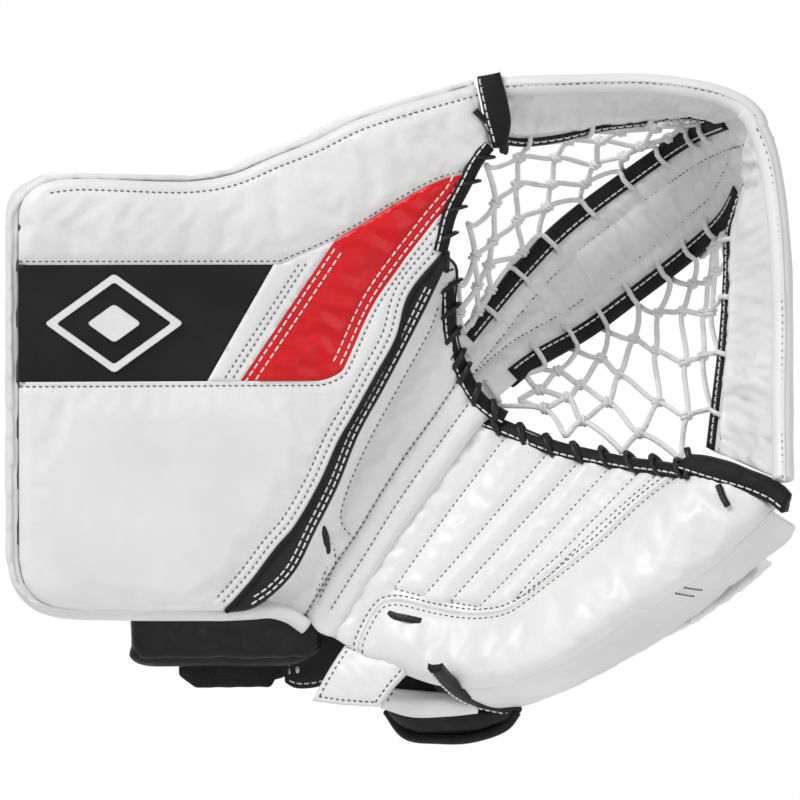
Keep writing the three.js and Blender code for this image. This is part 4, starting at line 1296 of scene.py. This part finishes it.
def build_palm():
    boundary = trace(BOUNDARY)
    split = BOUNDARY[-1]
    k = PALM_TOP.index((86, 169))
    inner_top = PALM_TOP[:k] + [split]
    quilted = np.vstack([trace(PALM_LEFT)[:-1], trace(inner_top)[:-1], boundary[::-1][:-1], trace([(5, 2), (-12, 0)])[:-1]])
    border = np.vstack([boundary[:-1], trace([split] + PALM_TOP[k + 1:])[:-1], trace(PALM_RIGHT)[::-1][:-1],
                        trace(PALM_BOTTOM[1:])[::-1][:-1], trace([(0, 1), (5, 2)])[:-1]])
    double = [parallel(boundary, -2.0), parallel(boundary, 2.6)]
    centre = panel("quilted_palm_skin", palm_surface, quilted, palm_relief, 2.0, WHITE,
                   seams=palm_rows + [double[1]], spacing=2.3, slack=0.02, press=0.8)
    fit(centre, "palm_side", "white_leather", "quilted_palm_panel")
    side = panel("palm_border_skin", palm_surface, border, palm_relief, 2.0, WHITE, seams=double, spacing=2.6,
                 slack=0.02, press=0.8)
    fit(side, "palm_side", "white_leather", "palm_border_panel")
    paths = []
    # The dark quilting stitches are painted shade of the stitch holes of the pale thread.
    for row in palm_rows + double:
        paths += stitch_paths(palm_surface, row, palm_relief)
    fit(cord_object("palm_stitching", paths, (0.34, 0.3), STITCH_HOLE_SHADE), "palm_side", "black_lace")
    for node, slot, material in [("palm_foam", "foam", FOAM), ("palm_board", "stiffener", PLASTIC),
                                 ("palm_lining", "lining", LINING)]:
        fit(soften(node, material, voxel=2.2, passes=3, swell=-0.2, crumple=0.2), "palm_side", slot, node)
    build_palm_edge()
    build_side_wall()
    build_heel_lace()


def build_palm_edge():
    """The bound pocket edge of the palm, its lacing and the black wrap at its tip."""
    edge = trace(PALM_TOP)
    cut = resample(edge, np.arange(0, arc_length(edge)[-1] - 42, 2))
    tape = profile_strip("palm_edge_tape", palm_surface, tape_profile(6.4, 3.0, 2.2), cut[::-1], BINDING)
    fit(tape, "palm_side", "black_binding", "palm_edge_binding")
    path = palm_surface(parallel(cut[::-1], 1.8), 0.8)
    rings = wrap_rings(path, 4.2, 15.0, 3.8)
    turns = fix_normals(make_object("palm_edge_lace_turns", *sweep(rings, (1.7, 1.0), closed_path=True), LACE_BLACK))
    fit(turns, "palm_side", "black_lace", "palm_edge_lace")
    rows = stitch_paths(palm_surface, parallel(cut[::-1], 4.9), 2.8, WHITE_ROW)
    fit(cord_object("palm_edge_stitching", rows, (0.42, 0.36), THREAD_WHITE), "palm_side", "white_lace")

    tip_top = [(84, 177), (96, 182), (112, 186.5), (124, 189.5), (133, 190.5), (138, 189.5)]
    tip_low = [(82, 164), (95, 167.5), (110, 172.5), (122, 176.5), (132, 178.5), (140, 178.5)]
    ribbon = Ribbon(PALM, [(x, palm_depth(np.array([x]), np.array([z]))[0] - 3.5, z) for x, z in tip_top],
                    [(x, palm_depth(np.array([x]), np.array([z]))[0] - 3.0, z) for x, z in tip_low], bow=-1.5, step=2)

    def relief(s, a, b):
        height = 0.9 - 3.0 * np.exp(-a / 2.2) - 1.2 * np.exp(-b / 1.2)
        return height + 0.25 * np.sin(s / 3.1)

    wrap = ribbon.sheet("palm_tip_wrap_skin", relief, 6.0, BINDING)
    fit(wrap, "palm_side", "black_binding", "palm_tip_wrap")
    paths = ribbon_stitches(ribbon, relief, [ribbon.line_b(2.4, 1)], WHITE_ROW)
    fit(cord_object("palm_tip_stitching", paths, (0.45, 0.38), THREAD_WHITE), "palm_side", "white_lace")
    for name, points in [("tip_lace_inner", [(82, 176), (87, 172), (92, 164)]),
                         ("tip_lace_outer", [(108, 171), (113, 168), (118, 166)])]:
        flat = trace(points)
        lace = palm_surface(flat, palm_relief(flat) + np.linspace(1.2, 1.0, len(flat)) + 1.4)
        fit(cord_object(name + "_turn", [lace], (1.6, 1.0), LACE_BLACK), "palm_side", "black_lace", name)


def build_heel_lace():
    flat = trace([(6, 26), (11, 27.5), (16, 30), (22, 33)])
    lace = palm_surface(flat, palm_relief(flat) - 0.6 + 2.0 * np.sin(np.linspace(0.15, math.pi - 0.15, len(flat))))
    fit(cord_object("heel_lace_turn", [lace], (1.8, 1.1), LACE_BLACK), "palm_side", "black_lace", "heel_lace")


CROSS_SEAM = 122.0


def build_side_wall():
    """The finger side wall, from the palm's rolled edge back to the hand guard."""
    rows = [(52, 20), (64, 28.5), (77, 39), (96, 63), (107, 88), (117, 113), (126, 139), (131, 160), (133, 177)]
    front = [(x, palm_depth(np.array([x]), np.array([z]))[0] + 4.5, z) for x, z in rows]
    back = [(68, 57, 27), (78, 60, 44), (93, 59.5, 72), (102, 59.5, 94), (110, 59.5, 118), (117, 59, 145),
            (121, 57, 160), (127, 50, 172), (131, 36, 179)]
    ribbon = Ribbon(PALM, front, back, step=2.6)

    def relief(s, a, b):
        bulge = (4.6 - 2.6 * ease((s - 25) / 50)) * ease((ribbon.length - s) / 40)
        height = bulge * np.sin(np.clip(a / (a + b + 1e-6), 0, 1) * math.pi)
        flat = np.column_stack([s.ravel(), a.ravel()])
        height += 0.6 * wrinkle(flat, 18, (0.7, 2.0), 0, seed=31).reshape(s.shape)
        cross = np.minimum(np.abs(s - CROSS_SEAM), 9)
        return height - 0.9 * np.exp(-(cross / 1.5) ** 2) - 0.8 * np.exp(-((a - 2) / 1.4) ** 2)

    wall = ribbon.sheet("finger_side_wall_skin", relief, 2.0, WHITE_SIDE)
    fit(wall, "palm_side", "white_leather", "finger_side_wall")
    cross = [np.column_stack([np.full(20, at), np.linspace(1, 24, 20)]) for at in (CROSS_SEAM - 2.4, CROSS_SEAM + 2.4)]
    # The dark cross-seam stitches are painted shade of the stitch holes of the pale thread.
    paths = ribbon_stitches(ribbon, relief, cross)
    fit(cord_object("side_wall_stitching", paths, (0.38, 0.32), STITCH_HOLE_SHADE), "palm_side", "black_lace")
    left = [(50, -14, 18), (51, 2, 15.5), (53.5, 20, 14.5), (57.5, 38, 16.5), (63.5, 50, 21), (67, 58, 24)]
    right = [(56, -16, 22.5), (57, 2, 20.5), (59.5, 20, 19.5), (63.5, 38, 21.5), (69, 50, 26), (71, 58, 29)]
    tape = Ribbon(PALM, left, right, bow=1.0, step=1.6)

    def rounded(s, a, b):
        return 1.0 - 1.8 * np.exp(-a / 1.0) - 1.4 * np.exp(-b / 1.0)

    fit(tape.sheet("side_wall_tape", rounded, 3.0, BINDING), "palm_side", "black_binding")
    rows = ribbon_stitches(tape, rounded, [tape.line(2.0, 1)], WHITE_ROW)
    fit(cord_object("side_wall_tape_stitching", rows, (0.42, 0.36), THREAD_WHITE), "palm_side", "white_lace")
    binding = soften("side_wall_binding", BINDING, voxel=0.9, passes=4, swell=0.3, crumple=0.2, size=6)
    fit(binding, "palm_side", "black_binding", "side_wall_binding")


# ------------------------------------------------------------------ pocket
RIM_TOP = [(-112, -19, 250), (-105, -20, 257), (-85, -22, 274), (-67, -23, 289), (-50, -24, 302), (-25, -26, 316), (-11, -27, 319.5),
           (-3, -28, 318.5), (3, -28.3, 315.5)]
RIM_RIGHT = [(-9, -27.6, 318.6), (-3, -28, 317.5), (12, -29, 309.5), (36, -35, 287), (64, -45, 254), (89, -55, 221), (112, -68, 191)]
TBAR_UPPER = [(-47, 28, 146), (-47, 44, 168), (-46, 60, 200), (-43, 70, 228), (-34, 66, 264), (-24, 40, 296),
              (-16, 4, 310)]
TBAR_LOWER = [(-14, 28, 142), (-9, 46, 164), (3, 66, 194), (10, 75, 219), (18, 66, 252), (21, 38, 277), (13, 0, 300)]
TOP_INNER = [(-93, 12, 234), (-88, 16, 238), (-80, 22, 244), (-68, 25, 257), (-57, 26, 272), (-44, 28, 286), (-32, 24, 299), (-21, 12, 306)]
RIGHT_INNER = [(17, 6, 290), (24, 22, 270), (34, 19, 256), (51, 8, 230), (66, -5, 204), (78, -16, 183)]
HINGE_RIM = ((-35, 0, 240), (-75, 0, 228))
HINGE_FINGER = ((112, 0, 191), (89, 0, 242))


def band(name, outer, inner, bodies, hinge_line, nodes, seed, wrinkles):
    """A padded perimeter band with its inner binding and stitch rows."""
    ribbon = Ribbon(CREASE, outer, inner, bow=2, step=1.7)

    def relief(s, a, b):
        share = a / (a + b + 1e-6)
        inner = ease((b - 6.5) / 7)
        height = 2.8 * np.sin(np.clip(share, 0, 1) * math.pi) ** 0.7 * inner
        flat = np.column_stack([s.ravel(), a.ravel()])
        folds = wrinkle(flat, wrinkles, (0.55, 2.6), 6, seed=seed).reshape(s.shape)
        height += 2.3 * folds * np.sin(np.clip(share, 0, 1) * math.pi) * inner
        height -= 0.7 * np.exp(-((a - 2.2) / 1.6) ** 2) + 0.8 * np.exp(-((b - 11.5) / 1.2) ** 2)
        return height

    def held(s, a, b):
        ends = np.minimum(s, ribbon.length - s) < 2
        return (a < 4.6) | (b < 12.6) | ends

    skin = ribbon.sheet(name + "_skin", relief, 6.0, WHITE, 14.0, 0.05, 1.2, held)
    bend(skin, bodies, *hinge_line, "white_leather", nodes[0])
    tape = bind_edge(name + "_tape", ribbon, "b", 6.5, 6.0, BINDING)
    bend(tape, bodies, *hinge_line, "black_binding", nodes[1])
    # The dark stitch rows are painted shade of the stitch holes of the pale thread.
    dark = ribbon_stitches(ribbon, relief, [ribbon.line(1.2, 3), ribbon.line(3.4, 3), ribbon.line_b(11.5, 3)])
    bend(cord_object(name + "_stitching", dark, (0.34, 0.3), STITCH_HOLE_SHADE), bodies, *hinge_line, "black_lace")
    pale = ribbon_stitches(ribbon, lambda s, a, b: 1.7 + 0 * s, [ribbon.line_b(4.8, 3)], WHITE_ROW)
    bend(cord_object(name + "_tape_stitching", pale, (0.42, 0.36), THREAD_WHITE), bodies, *hinge_line, "white_lace")
    return ribbon


def rim(name, path, bodies, hinge_line, node, seed):
    """The rolled rim of the pocket, puffed between its seams."""
    line = trace(path, 1.6)
    s = arc_length(line)
    rng = np.random.default_rng(seed)
    wave = sum(np.sin(s / k + p) for k, p in zip((9.0, 5.3, 14.0), rng.uniform(0, 6, 3))) / 3
    section = np.column_stack([5.6 + 0.3 * wave, 5.6 + 0.3 * wave])
    points, faces = sweep([place(CREASE, line)], section)
    piece = fix_normals(make_object(name + "_roll", points, faces, WHITE))
    smooth = piece.modifiers.new("subdivision", "SUBSURF")
    smooth.levels = 1
    smooth.render_levels = 1
    bpy.context.view_layer.objects.active = piece
    with bpy.context.temp_override(object=piece, active_object=piece, selected_objects=[piece]):
        bpy.ops.object.modifier_apply(modifier="subdivision")
    bend(piece, bodies, *hinge_line, "white_leather", node)


def build_perimeter():
    thumb, finger = ("pocket", "thumb_side"), ("palm_side", "pocket")
    rim("rim_top", RIM_TOP, thumb, HINGE_RIM, "rim_roll_top", 4)
    rim("rim_right", RIM_RIGHT, finger, HINGE_FINGER, "rim_roll_right", 5)
    def crest(path):
        return [(w, y - 6.0, t) for w, y, t in path]

    top_outer = crest(RIM_TOP[:-1])
    right_outer = crest(RIM_RIGHT[1:])
    top_band = band("band_top", top_outer, TOP_INNER, thumb, HINGE_RIM, ("perimeter_band_top", "band_binding_top"), 41, 15)
    right_band = band("band_right", right_outer, RIGHT_INNER, finger, HINGE_FINGER,
                      ("perimeter_band_right", "band_binding_right"), 42, 19)
    return top_band, right_band


def build_t_bar():
    upper = [(-46, 22, 132)] + TBAR_UPPER + [(-9, -24, 318)]
    lower = [(-16, 21, 128)] + TBAR_LOWER + [(9, -25, 311)]
    ribbon = Ribbon(CREASE, upper, lower, bow=0, step=1.6)

    def relief(s, a, b):
        centre = np.minimum(a, b) - 16.5
        height = np.where(centre > 0, 3.4 * (1 - np.exp(-centre / 5)), 1.2 * (1 - np.exp(centre / 4)))
        flat = np.column_stack([s.ravel(), a.ravel()])
        folds = wrinkle(flat, 13, (0.5, 2.2), 4, seed=51).reshape(s.shape)
        height = (height + 1.5 * folds) * ease((np.minimum(a, b) - 6.5) / 6)
        return height - 0.9 * np.exp(-(centre / 1.2) ** 2)

    def held(s, a, b):
        near = np.minimum(a, b)
        ends = np.minimum(s, ribbon.length - s) < 2
        return (near < 7.5) | (np.abs(near - 16.5) < 1.2) | ends

    skin = ribbon.sheet("t_bar_skin", relief, 7.0, WHITE, 0.0, 0.05, 1.0, held)
    fit(skin, "pocket", "white_leather", "t_bar_front", "t_bar_core", "t_bar_back")
    rows = []
    for edge, node, start, end in (("a", "t_bar_binding_upper", 26, 24), ("b", "t_bar_binding_lower", 30, 50)):
        tape = bind_edge(node + "_tape", ribbon, edge, 7.2, 6.0, BINDING, start, ribbon.length - end)
        fit(tape, "pocket", "black_binding", node)
        column = 5.2 if edge == "a" else Ribbon.FROM_B + 5.2
        rows.append(ribbon.line(column, start + 2, ribbon.length - end - 2))
    length = ribbon.length
    # The dark stitch rows are painted shade of the stitch holes of the pale thread.
    dark = ribbon_stitches(ribbon, relief, [ribbon.line(16.5, 12, length - 16), ribbon.line_b(16.5, 12, length - 44)])
    fit(cord_object("t_bar_stitching", dark, (0.34, 0.3), STITCH_HOLE_SHADE), "pocket", "black_lace")
    pale = ribbon_stitches(ribbon, lambda s, a, b: 1.75 + 0 * s, rows, WHITE_ROW)
    fit(cord_object("t_bar_tape_stitching", pale, (0.42, 0.36), THREAD_WHITE), "pocket", "white_lace")
    return ribbon


def over_edge(point, bound_edges):
    """The way of a lace over the nearest bound edge, through a hole and back behind it."""
    for ribbon, edge in bound_edges:
        start = 0.0 if edge == "a" else Ribbon.FROM_B
        line = ribbon.line(start)
        gap = np.linalg.norm(ribbon(line, 0.0) - point, axis=1)
        k = int(np.argmin(gap))
        if gap[k] > 13 or k in (0, len(gap) - 1):
            continue
        steps = [(-2.5, 0.6, 0), (2.2, 3.1, 0.2), (8.2, 3.0, 1.2), (10.4, 0.6, 1.6), (10.4, -8, 1.6), (2.2, -9, 1.0),
                 (-2.5, -4, 0.6)]
        return [ribbon([[line[k, 0] + along, start + away]], up)[0] for away, up, along in steps]
    return None


def net(name, edge_a, edge_b, columns, rows, sag, bodies, hinge_line, node, seed, bound_edges):
    """A net of white lace: zigzag strands that meet in knots, looped over both bindings."""
    a, b = resample_count(edge_a, 90), resample_count(edge_b, 90)
    rng = np.random.default_rng(seed)
    shift = rng.uniform(-1, 1, (columns + 1, rows + 1, 3))

    def node_at(i, j, u=None, v=None):
        u = i / columns if u is None else u
        v = j / rows if v is None else v
        row = u * 89
        k = min(int(row), 88)
        pa = a[k] + (a[k + 1] - a[k]) * (row - k)
        pb = b[k] + (b[k + 1] - b[k]) * (row - k)
        point = pa * (1 - v) + pb * v
        gap = np.linalg.norm(pb - pa)
        point = point + np.array([0, sag * 4 * v * (1 - v) * min(1, gap / 60), 0])
        if 0 < j < rows:
            room = min(3.2, gap / rows * 0.3)
            point = point + shift[i, j] * [room, 2.0, room]
        return point

    strands, knots = [], []
    for k in range(rows):
        path = []
        for i in range(columns + 1):
            j = k if (i + k) % 2 == 0 else k + 1
            point = node_at(i, j)
            if j in (0, rows):
                crossing = over_edge(place(CREASE, point)[0], bound_edges)
                if crossing:
                    path += [local(CREASE, p) for p in crossing]
                else:
                    inner = node_at(i, j, v=0.5 / rows if j == 0 else 1 - 0.5 / rows)
                    away = (point - inner) / (np.linalg.norm(point - inner) + 1e-9)
                    path += [point + away * 2 + [-1.2, 1.5, 0], point + away * 4.5 + [0, 2.5, 0],
                             point + away * 2 + [1.2, 1.5, 0]]
            else:
                toward = 1 if j == k else -1
                path.append(point + np.array([0, 0, 0]) + toward * 0.5 * (node_at(i, k + 1) - node_at(i, k)) * 0.08)
        strands.append(place(CREASE, trace(path, 2.2)))
        for i in range(1, columns):
            if (i + k) % 2 == 0 and k > 0:
                centre = place(CREASE, [node_at(i, k)])[0]
                across = place(CREASE, [node_at(min(i + 1, columns), k)])[0] - centre
                across /= np.linalg.norm(across) + 1e-9
                for offset in (-0.9, 1.1):
                    knots += wrap_rings([centre - across * 2 + offset * across, centre + across * 2 + offset * across],
                                        1.9, 4.0, 0.6)
    strands_mesh = sweep(strands, (1.4, 1.2))
    knots_mesh = sweep(knots, (1.15, 1.0), closed_path=True)
    for label, (points, faces) in (("", strands_mesh), ("_knots", knots_mesh)):
        piece = fix_normals(make_object(name + label, points, faces, LACE_WHITE))
        bend(piece, bodies, *hinge_line, "white_lace", *([node] if not label else []))


def build_nets(t_bar, top_band, right_band):
    upper_a = [(-46, 22, 150), (-56, 14, 162), (-68, 8, 182), (-80, 4, 205), (-88, 8, 232), (-84, 20, 243),
               (-61, 27, 272), (-46, 29, 287), (-33, 29, 299), (-22, 22, 307)]
    upper_b = [(-45, 38, 160), (-46, 50, 180), (-46, 60, 200), (-42, 68, 215), (-41, 72, 228), (-37, 73, 247), (-33, 72, 262),
               (-28, 56, 282), (-24, 42, 295), (-19, 22, 304)]
    net("net_upper_lace", upper_a, upper_b, 14, 5, 10, ("pocket", "thumb_side"), HINGE_THUMB, "net_upper", 7,
        [(t_bar, "a"), (top_band, "b")])
    lower_a = [(-4, 22, 139), (10, 14, 143), (26, 6, 149), (41, 0, 155), (54, -8, 162), (70, -14, 172), (73, -9, 190),
               (64, -3, 205), (51, 9, 229), (37, 20, 253), (27, 26, 269)]
    lower_b = [(-10, 42, 160), (-3, 56, 180), (6, 66, 196), (8, 73, 208), (10, 78, 221), (12, 77, 231), (14, 75, 241),
               (16, 73, 252), (18, 62, 264), (19, 52, 274), (19, 44, 280)]
    net("net_lower_lace", lower_a, lower_b, 14, 5, 8, ("palm_side", "pocket"), HINGE_FINGER, "net_lower", 9,
        [(t_bar, "b"), (right_band, "b")])


def build_thumb_edge():
    """The bound and laced pocket edge of the thumb, and the black wrap over its tip."""
    edge = trace(POCKET_EDGE)
    tape = profile_strip("thumb_edge_tape", face_surface, tape_profile(5.6, 8.0, 1.9), edge[::-1], BINDING)
    fit(tape, "thumb_side", "black_binding", "thumb_edge_binding")
    path = face_surface(parallel(edge[::-1], 1.0), -2.5)
    rings = wrap_rings(path, 4.4, 14.0, 3.6)
    turns = fix_normals(make_object("thumb_edge_lace_turns", *sweep(rings, (1.7, 1.0), closed_path=True), LACE_BLACK))
    fit(turns, "thumb_side", "black_lace", "thumb_edge_lace")
    rows = stitch_paths(face_surface, parallel(edge[::-1], 4.0), 2.5, WHITE_ROW)
    fit(cord_object("thumb_edge_stitching", rows, (0.42, 0.36), THREAD_WHITE), "thumb_side", "white_lace")
    left = [(63.5, -4, 272), (65, -5, 262), (68, -4.5, 250), (71.5, -1.5, 238)]
    right = [(73.5, -12, 274), (77, -12, 263), (80, -9, 250), (80, -2.5, 239)]
    ribbon = Ribbon(FACE, left, right, bow=-1.8, step=1.8)

    def relief(s, a, b):
        return 0.6 - 2.4 * np.exp(-b / 1.6) - 1.0 * np.exp(-a / 1.0) + 0.2 * np.sin(s / 2.7)

    wrap = ribbon.sheet("thumb_tip_wrap_skin", relief, 9.0, BINDING)
    fit(wrap, "thumb_side", "black_binding", "thumb_tip_wrap")
    rows = ribbon_stitches(ribbon, relief, [ribbon.line(2.0, 1)], WHITE_ROW)
    fit(cord_object("thumb_tip_stitching", rows, (0.45, 0.38), THREAD_WHITE), "thumb_side", "white_lace")
    lace = face_surface(trace([(63, 256), (66, 253), (70, 250)]), 4.6)
    knot = wrap_rings(face_surface(trace([(76, 239), (79, 238)]), 1.5), 2.6, 1.6, 0.8)
    fit(cord_object("thumb_tip_lace", [lace], (1.5, 1.0), LACE_BLACK), "thumb_side", "black_lace")
    fit(cord_object("thumb_tip_knot", knot, (1.2, 0.9), LACE_BLACK, closed_path=True), "thumb_side", "black_lace")


# ------------------------------------------------------------------ heel, wrist and back of the hand
def flap(name, basis, top, bottom, body, slot, material, nodes, rows, thread, puff=1.2, thickness=2.2, crease=0.5,
         seed=60, bow=0.0):
    """A padded flap between two edges, with stitch rows at these distances from its edges."""
    ribbon = Ribbon(basis, top, bottom, bow=bow, step=1.7)

    def relief(s, a, b):
        sides = np.minimum(s, ribbon.length - s)
        edge = np.minimum(np.minimum(a, b), sides)
        height = puff * (1 - np.exp(-edge / 4))
        flat = np.column_stack([s.ravel(), a.ravel()])
        height += crease * wrinkle(flat, 11, (1.6, 0.8), 15, seed=seed).reshape(s.shape) * ease(edge / 5)
        return height - 0.5 * np.exp(-((edge - 2.6) / 0.9) ** 2)

    skin = ribbon.sheet(name, relief, thickness, material)
    fit(skin, body, slot, *nodes)
    lines = [ribbon.line(r, 2, ribbon.length - 2) if r > 0 else ribbon.line_b(-r, 2, ribbon.length - 2) for r in rows]
    for at in (2.6, ribbon.length - 2.6):
        width = np.interp(at, ribbon.along, ribbon.width)
        if width > 8:
            lines.append(np.column_stack([np.full(16, at), np.linspace(2.5, width - 2.5, 16)]))
    # Rows with the dark stitch material get the short dot spacing; their colour is painted shade of the stitch holes.
    spacing = WHITE_ROW if thread is THREAD_WHITE else SHADE_DOT_ROW
    paths = ribbon_stitches(ribbon, relief, lines, spacing)
    if paths:
        colour = "white_lace" if thread is THREAD_WHITE else "black_lace"
        fit(cord_object(name + "_stitching", paths, (0.42, 0.36), thread), body, colour)
    return skin


def build_wrist():
    bolster = flap("wrist_bolster_skin", FACE, [(-84, 24, 17), (-60, 24, 17), (-20, 24, 15), (-2, 24, 12)],
                   [(-92, 31, 5.5), (-60, 31.5, 3.5), (-25, 31.5, 2), (-4, 31, 6)], "thumb_side", "black_leather",
                   CHARCOAL, (), [], THREAD_WHITE, puff=1.4, thickness=3.0, crease=1.3, seed=61)
    upper = trace([(-98, -5), (-97, 1), (-91, 4.2), (-60, 2.2), (-26, 1.0), (-14, 3.5), (-4, 8)])
    lower = trace([(-6, -8), (-16, -13.5), (-26, -15), (-60, -14.5), (-91, -14), (-96.5, -12), (-99, -9), (-98, -5)])
    outline = np.vstack([upper[:-1], trace([(-4, 8), (-6, -8)])[:-1], lower[:-1]])
    row = parallel(upper, -1.6)[8:]

    def relief(flat):
        height = edge_roll(distance_to(flat, [outline]), 7.5, 7.0) + groove(distance_to(flat, [row]), 1.0, 0.5)
        return height + 0.5 * wrinkle(flat, 8, (1.8, 0.8), 0, seed=68)

    roll_surface = Flat(FACE, 27.0)
    piece = panel("wrist_roll", roll_surface, outline, relief, 9.0, BLACK, spacing=1.8)
    fit(piece, "thumb_side", "black_leather")
    threads = cord_object("wrist_roll_stitching", stitch_paths(roll_surface, row, relief, WHITE_ROW), (0.42, 0.36),
                          THREAD_WHITE)
    fit(threads, "thumb_side", "white_lace")
    flap("wrist_flap_skin", FACE, [(-76, 40, -6), (-50, 41, -6), (-22, 40, -6)],
         [(-75.5, 41, -12), (-72.5, 42, -18), (-66, 42.5, -21.5), (-57, 43, -22.8), (-27, 43, -23), (-22, 41, -21)], "thumb_side", "webbing", WEBBING,
         (), [], THREAD_WHITE, puff=0.8, crease=0.8, seed=62)
    flap("wrist_tongue_skin", FACE, [(-24, 44, -4), (-10, 43, 2), (13, 42, 9)],
         [(-22, 45, -25), (-18, 45.5, -27.5), (-10, 46, -28), (6, 45, -24)], "thumb_side", "black_leather", BLACK, (), [-2.6],
         THREAD_WHITE, puff=0.9, crease=0.7, seed=63)
    snap = wrap_rings(place(FACE, [(-17, 39, -17.6), (-16.4, 39, -17.6)]), 0.9, 0.6, 0.0, first=0.4)
    fit(cord_object("wrist_rivet", snap, (0.9, 0.9), PLASTIC, closed_path=True), "thumb_side", "stiffener")


def build_heel():
    # The white straps' dark stitches are painted shade of the stitch holes of the pale thread.
    upper = flap("heel_strap_upper_skin", PALM, [(-4, 13, 4), (10, 14, 10), (30, 15, 15)],
                 [(0.5, 14, -30), (14, 15, -22), (28.5, 16, -12)], "palm_side", "white_leather", WHITE,
                 ("heel_strap_upper",), [-2.6], STITCH_HOLE_SHADE, puff=1.2, thickness=3.0, crease=0.8, seed=64, bow=-2)
    lower = flap("heel_strap_lower_skin", PALM, [(20, 34, -2), (34, 35, 7), (47, 36, 15.5), (58, 37, 19)],
                 [(21, 36, -13), (36, 37, -7), (50, 38, 4), (62, 38, 15)], "palm_side", "white_leather", WHITE,
                 ("heel_strap_lower",), [], STITCH_HOLE_SHADE, puff=1.6, thickness=3.0, crease=0.9, seed=65, bow=-2)
    pad = flap("heel_pad_skin", PALM, [(12, 48, -6), (30, 50, 6), (50, 52, 17), (68, 54, 30)],
               [(18, 56, -14), (32, 58, -16.5), (47, 59, -7), (60, 59, 3), (71, 58, 20)], "palm_side", "black_leather",
               BLACK_GLOSS, ("heel_pad",), [], THREAD_WHITE, puff=2.6, thickness=5.0, crease=1.2, seed=66, bow=-3)
    flap("heel_tongue_skin", PALM, [(6, 40, 14), (24, 41, 27), (46, 42, 36)], [(14, 41, -6), (32, 42, 6), (52, 43, 18)],
         "palm_side", "webbing", WEBBING, (), [], THREAD_WHITE, puff=0.8, crease=0.6, seed=67)
    roll = trace([(16, -13), (32, -16), (47, -7.5), (60, 3), (70, 18), (70, 27)], 2)
    path = place(PALM, np.column_stack([roll[:, 0], np.full(len(roll), 56.0), roll[:, 1]]))
    fit(cord_object("heel_pad_welt", [path], (2.4, 2.4), BINDING), "palm_side", "black_binding")


SOFT_PIECES = [
    ("wrist_bolster", "thumb_side", "black_leather", BLACK_GLOSS, 1.4, 8, 1.2),
    ("wrist_flap", "thumb_side", "webbing", WEBBING, 1.0, 4, 0.4),
    ("thumb_stall", "thumb_side", "black_leather", BLACK, 1.2, 4, 0.3),
    ("thumb_loop", "thumb_side", "webbing", WEBBING, 1.0, 3, 0.2),
    ("finger_loops", "palm_side", "lining", LINING, 1.0, 2, 0.1),
    ("wrist_strap", "palm_side", "webbing", WEBBING, 1.0, 3, 0.2),
    ("back_hand_strap", "palm_side", "webbing", WEBBING, 1.0, 3, 0.2),
    ("wrist_strap_tab", "wrist_tab", "webbing", WEBBING, 0.7, 2, 0.1),
    ("back_hand_strap_tab", "back_hand_tab", "webbing", WEBBING, 0.7, 2, 0.1),
    ("back_lining", "palm_side", "lining", LINING, 1.6, 3, 0.1),
    ("back_foam", "palm_side", "foam", FOAM, 2.0, 3, -0.2),
    ("back_board", "palm_side", "stiffener", PLASTIC, 1.4, 2, 0.0),
    ("back_cover", "palm_side", "white_leather", WHITE, 1.3, 5, 0.8),
]


def build_soft_pieces():
    made = {}
    for seed, (node, body, slot, material, voxel, passes, swell) in enumerate(SOFT_PIECES):
        piece = soften(node, material, voxel=voxel, passes=passes, swell=swell, crumple=swell * 0.8, seed=seed)
        made[node] = fit(piece, body, slot, node)
    rows = [
        ("bolster", "wrist_bolster", FACE, [[(-88, 54), (-40, 54)], [(-88, 2), (-88, 50)]], THREAD_WHITE, True),
        ("flap", "wrist_flap", FACE, [[(-70, -16), (-70, 36), (-30, 36), (-30, -16), (-66, -20)]], THREAD_WHITE, True),
        # The cover's dark stitches are painted shade of the stitch holes of the pale thread.
        ("cover", "back_cover", PALM, [[(0, 76), (30, 68), (64, 56)], [(66, 56), (81, 74), (91, 94), (101, 117), (109, 140), (112, 154)],
                                        [(-2, 80), (-3, 100), (-4, 122)], [(-2, 124), (30, 132), (58, 144), (110, 156)],
                                        [(30, 70), (30, 130)], [(55, 62), (58, 142)], [(80, 78), (84, 148)]],
         STITCH_HOLE_SHADE, True),
    ]
    for label, node, basis, lines, thread, back in rows:
        threads = sewn([made[node]], basis, lines, label + "_stitching", thread, back=back)
        if threads:
            body = "thumb_side" if basis is FACE else "palm_side"
            fit(threads, body, "white_lace" if thread is THREAD_WHITE else "black_lace")


build_stage()
build_face_panels()
build_cuff()
build_piping()
build_badge()
build_break()
build_palm()
perimeter = build_perimeter()
build_nets(build_t_bar(), *perimeter)
build_thumb_edge()
build_soft_pieces()
build_wrist()
build_heel()
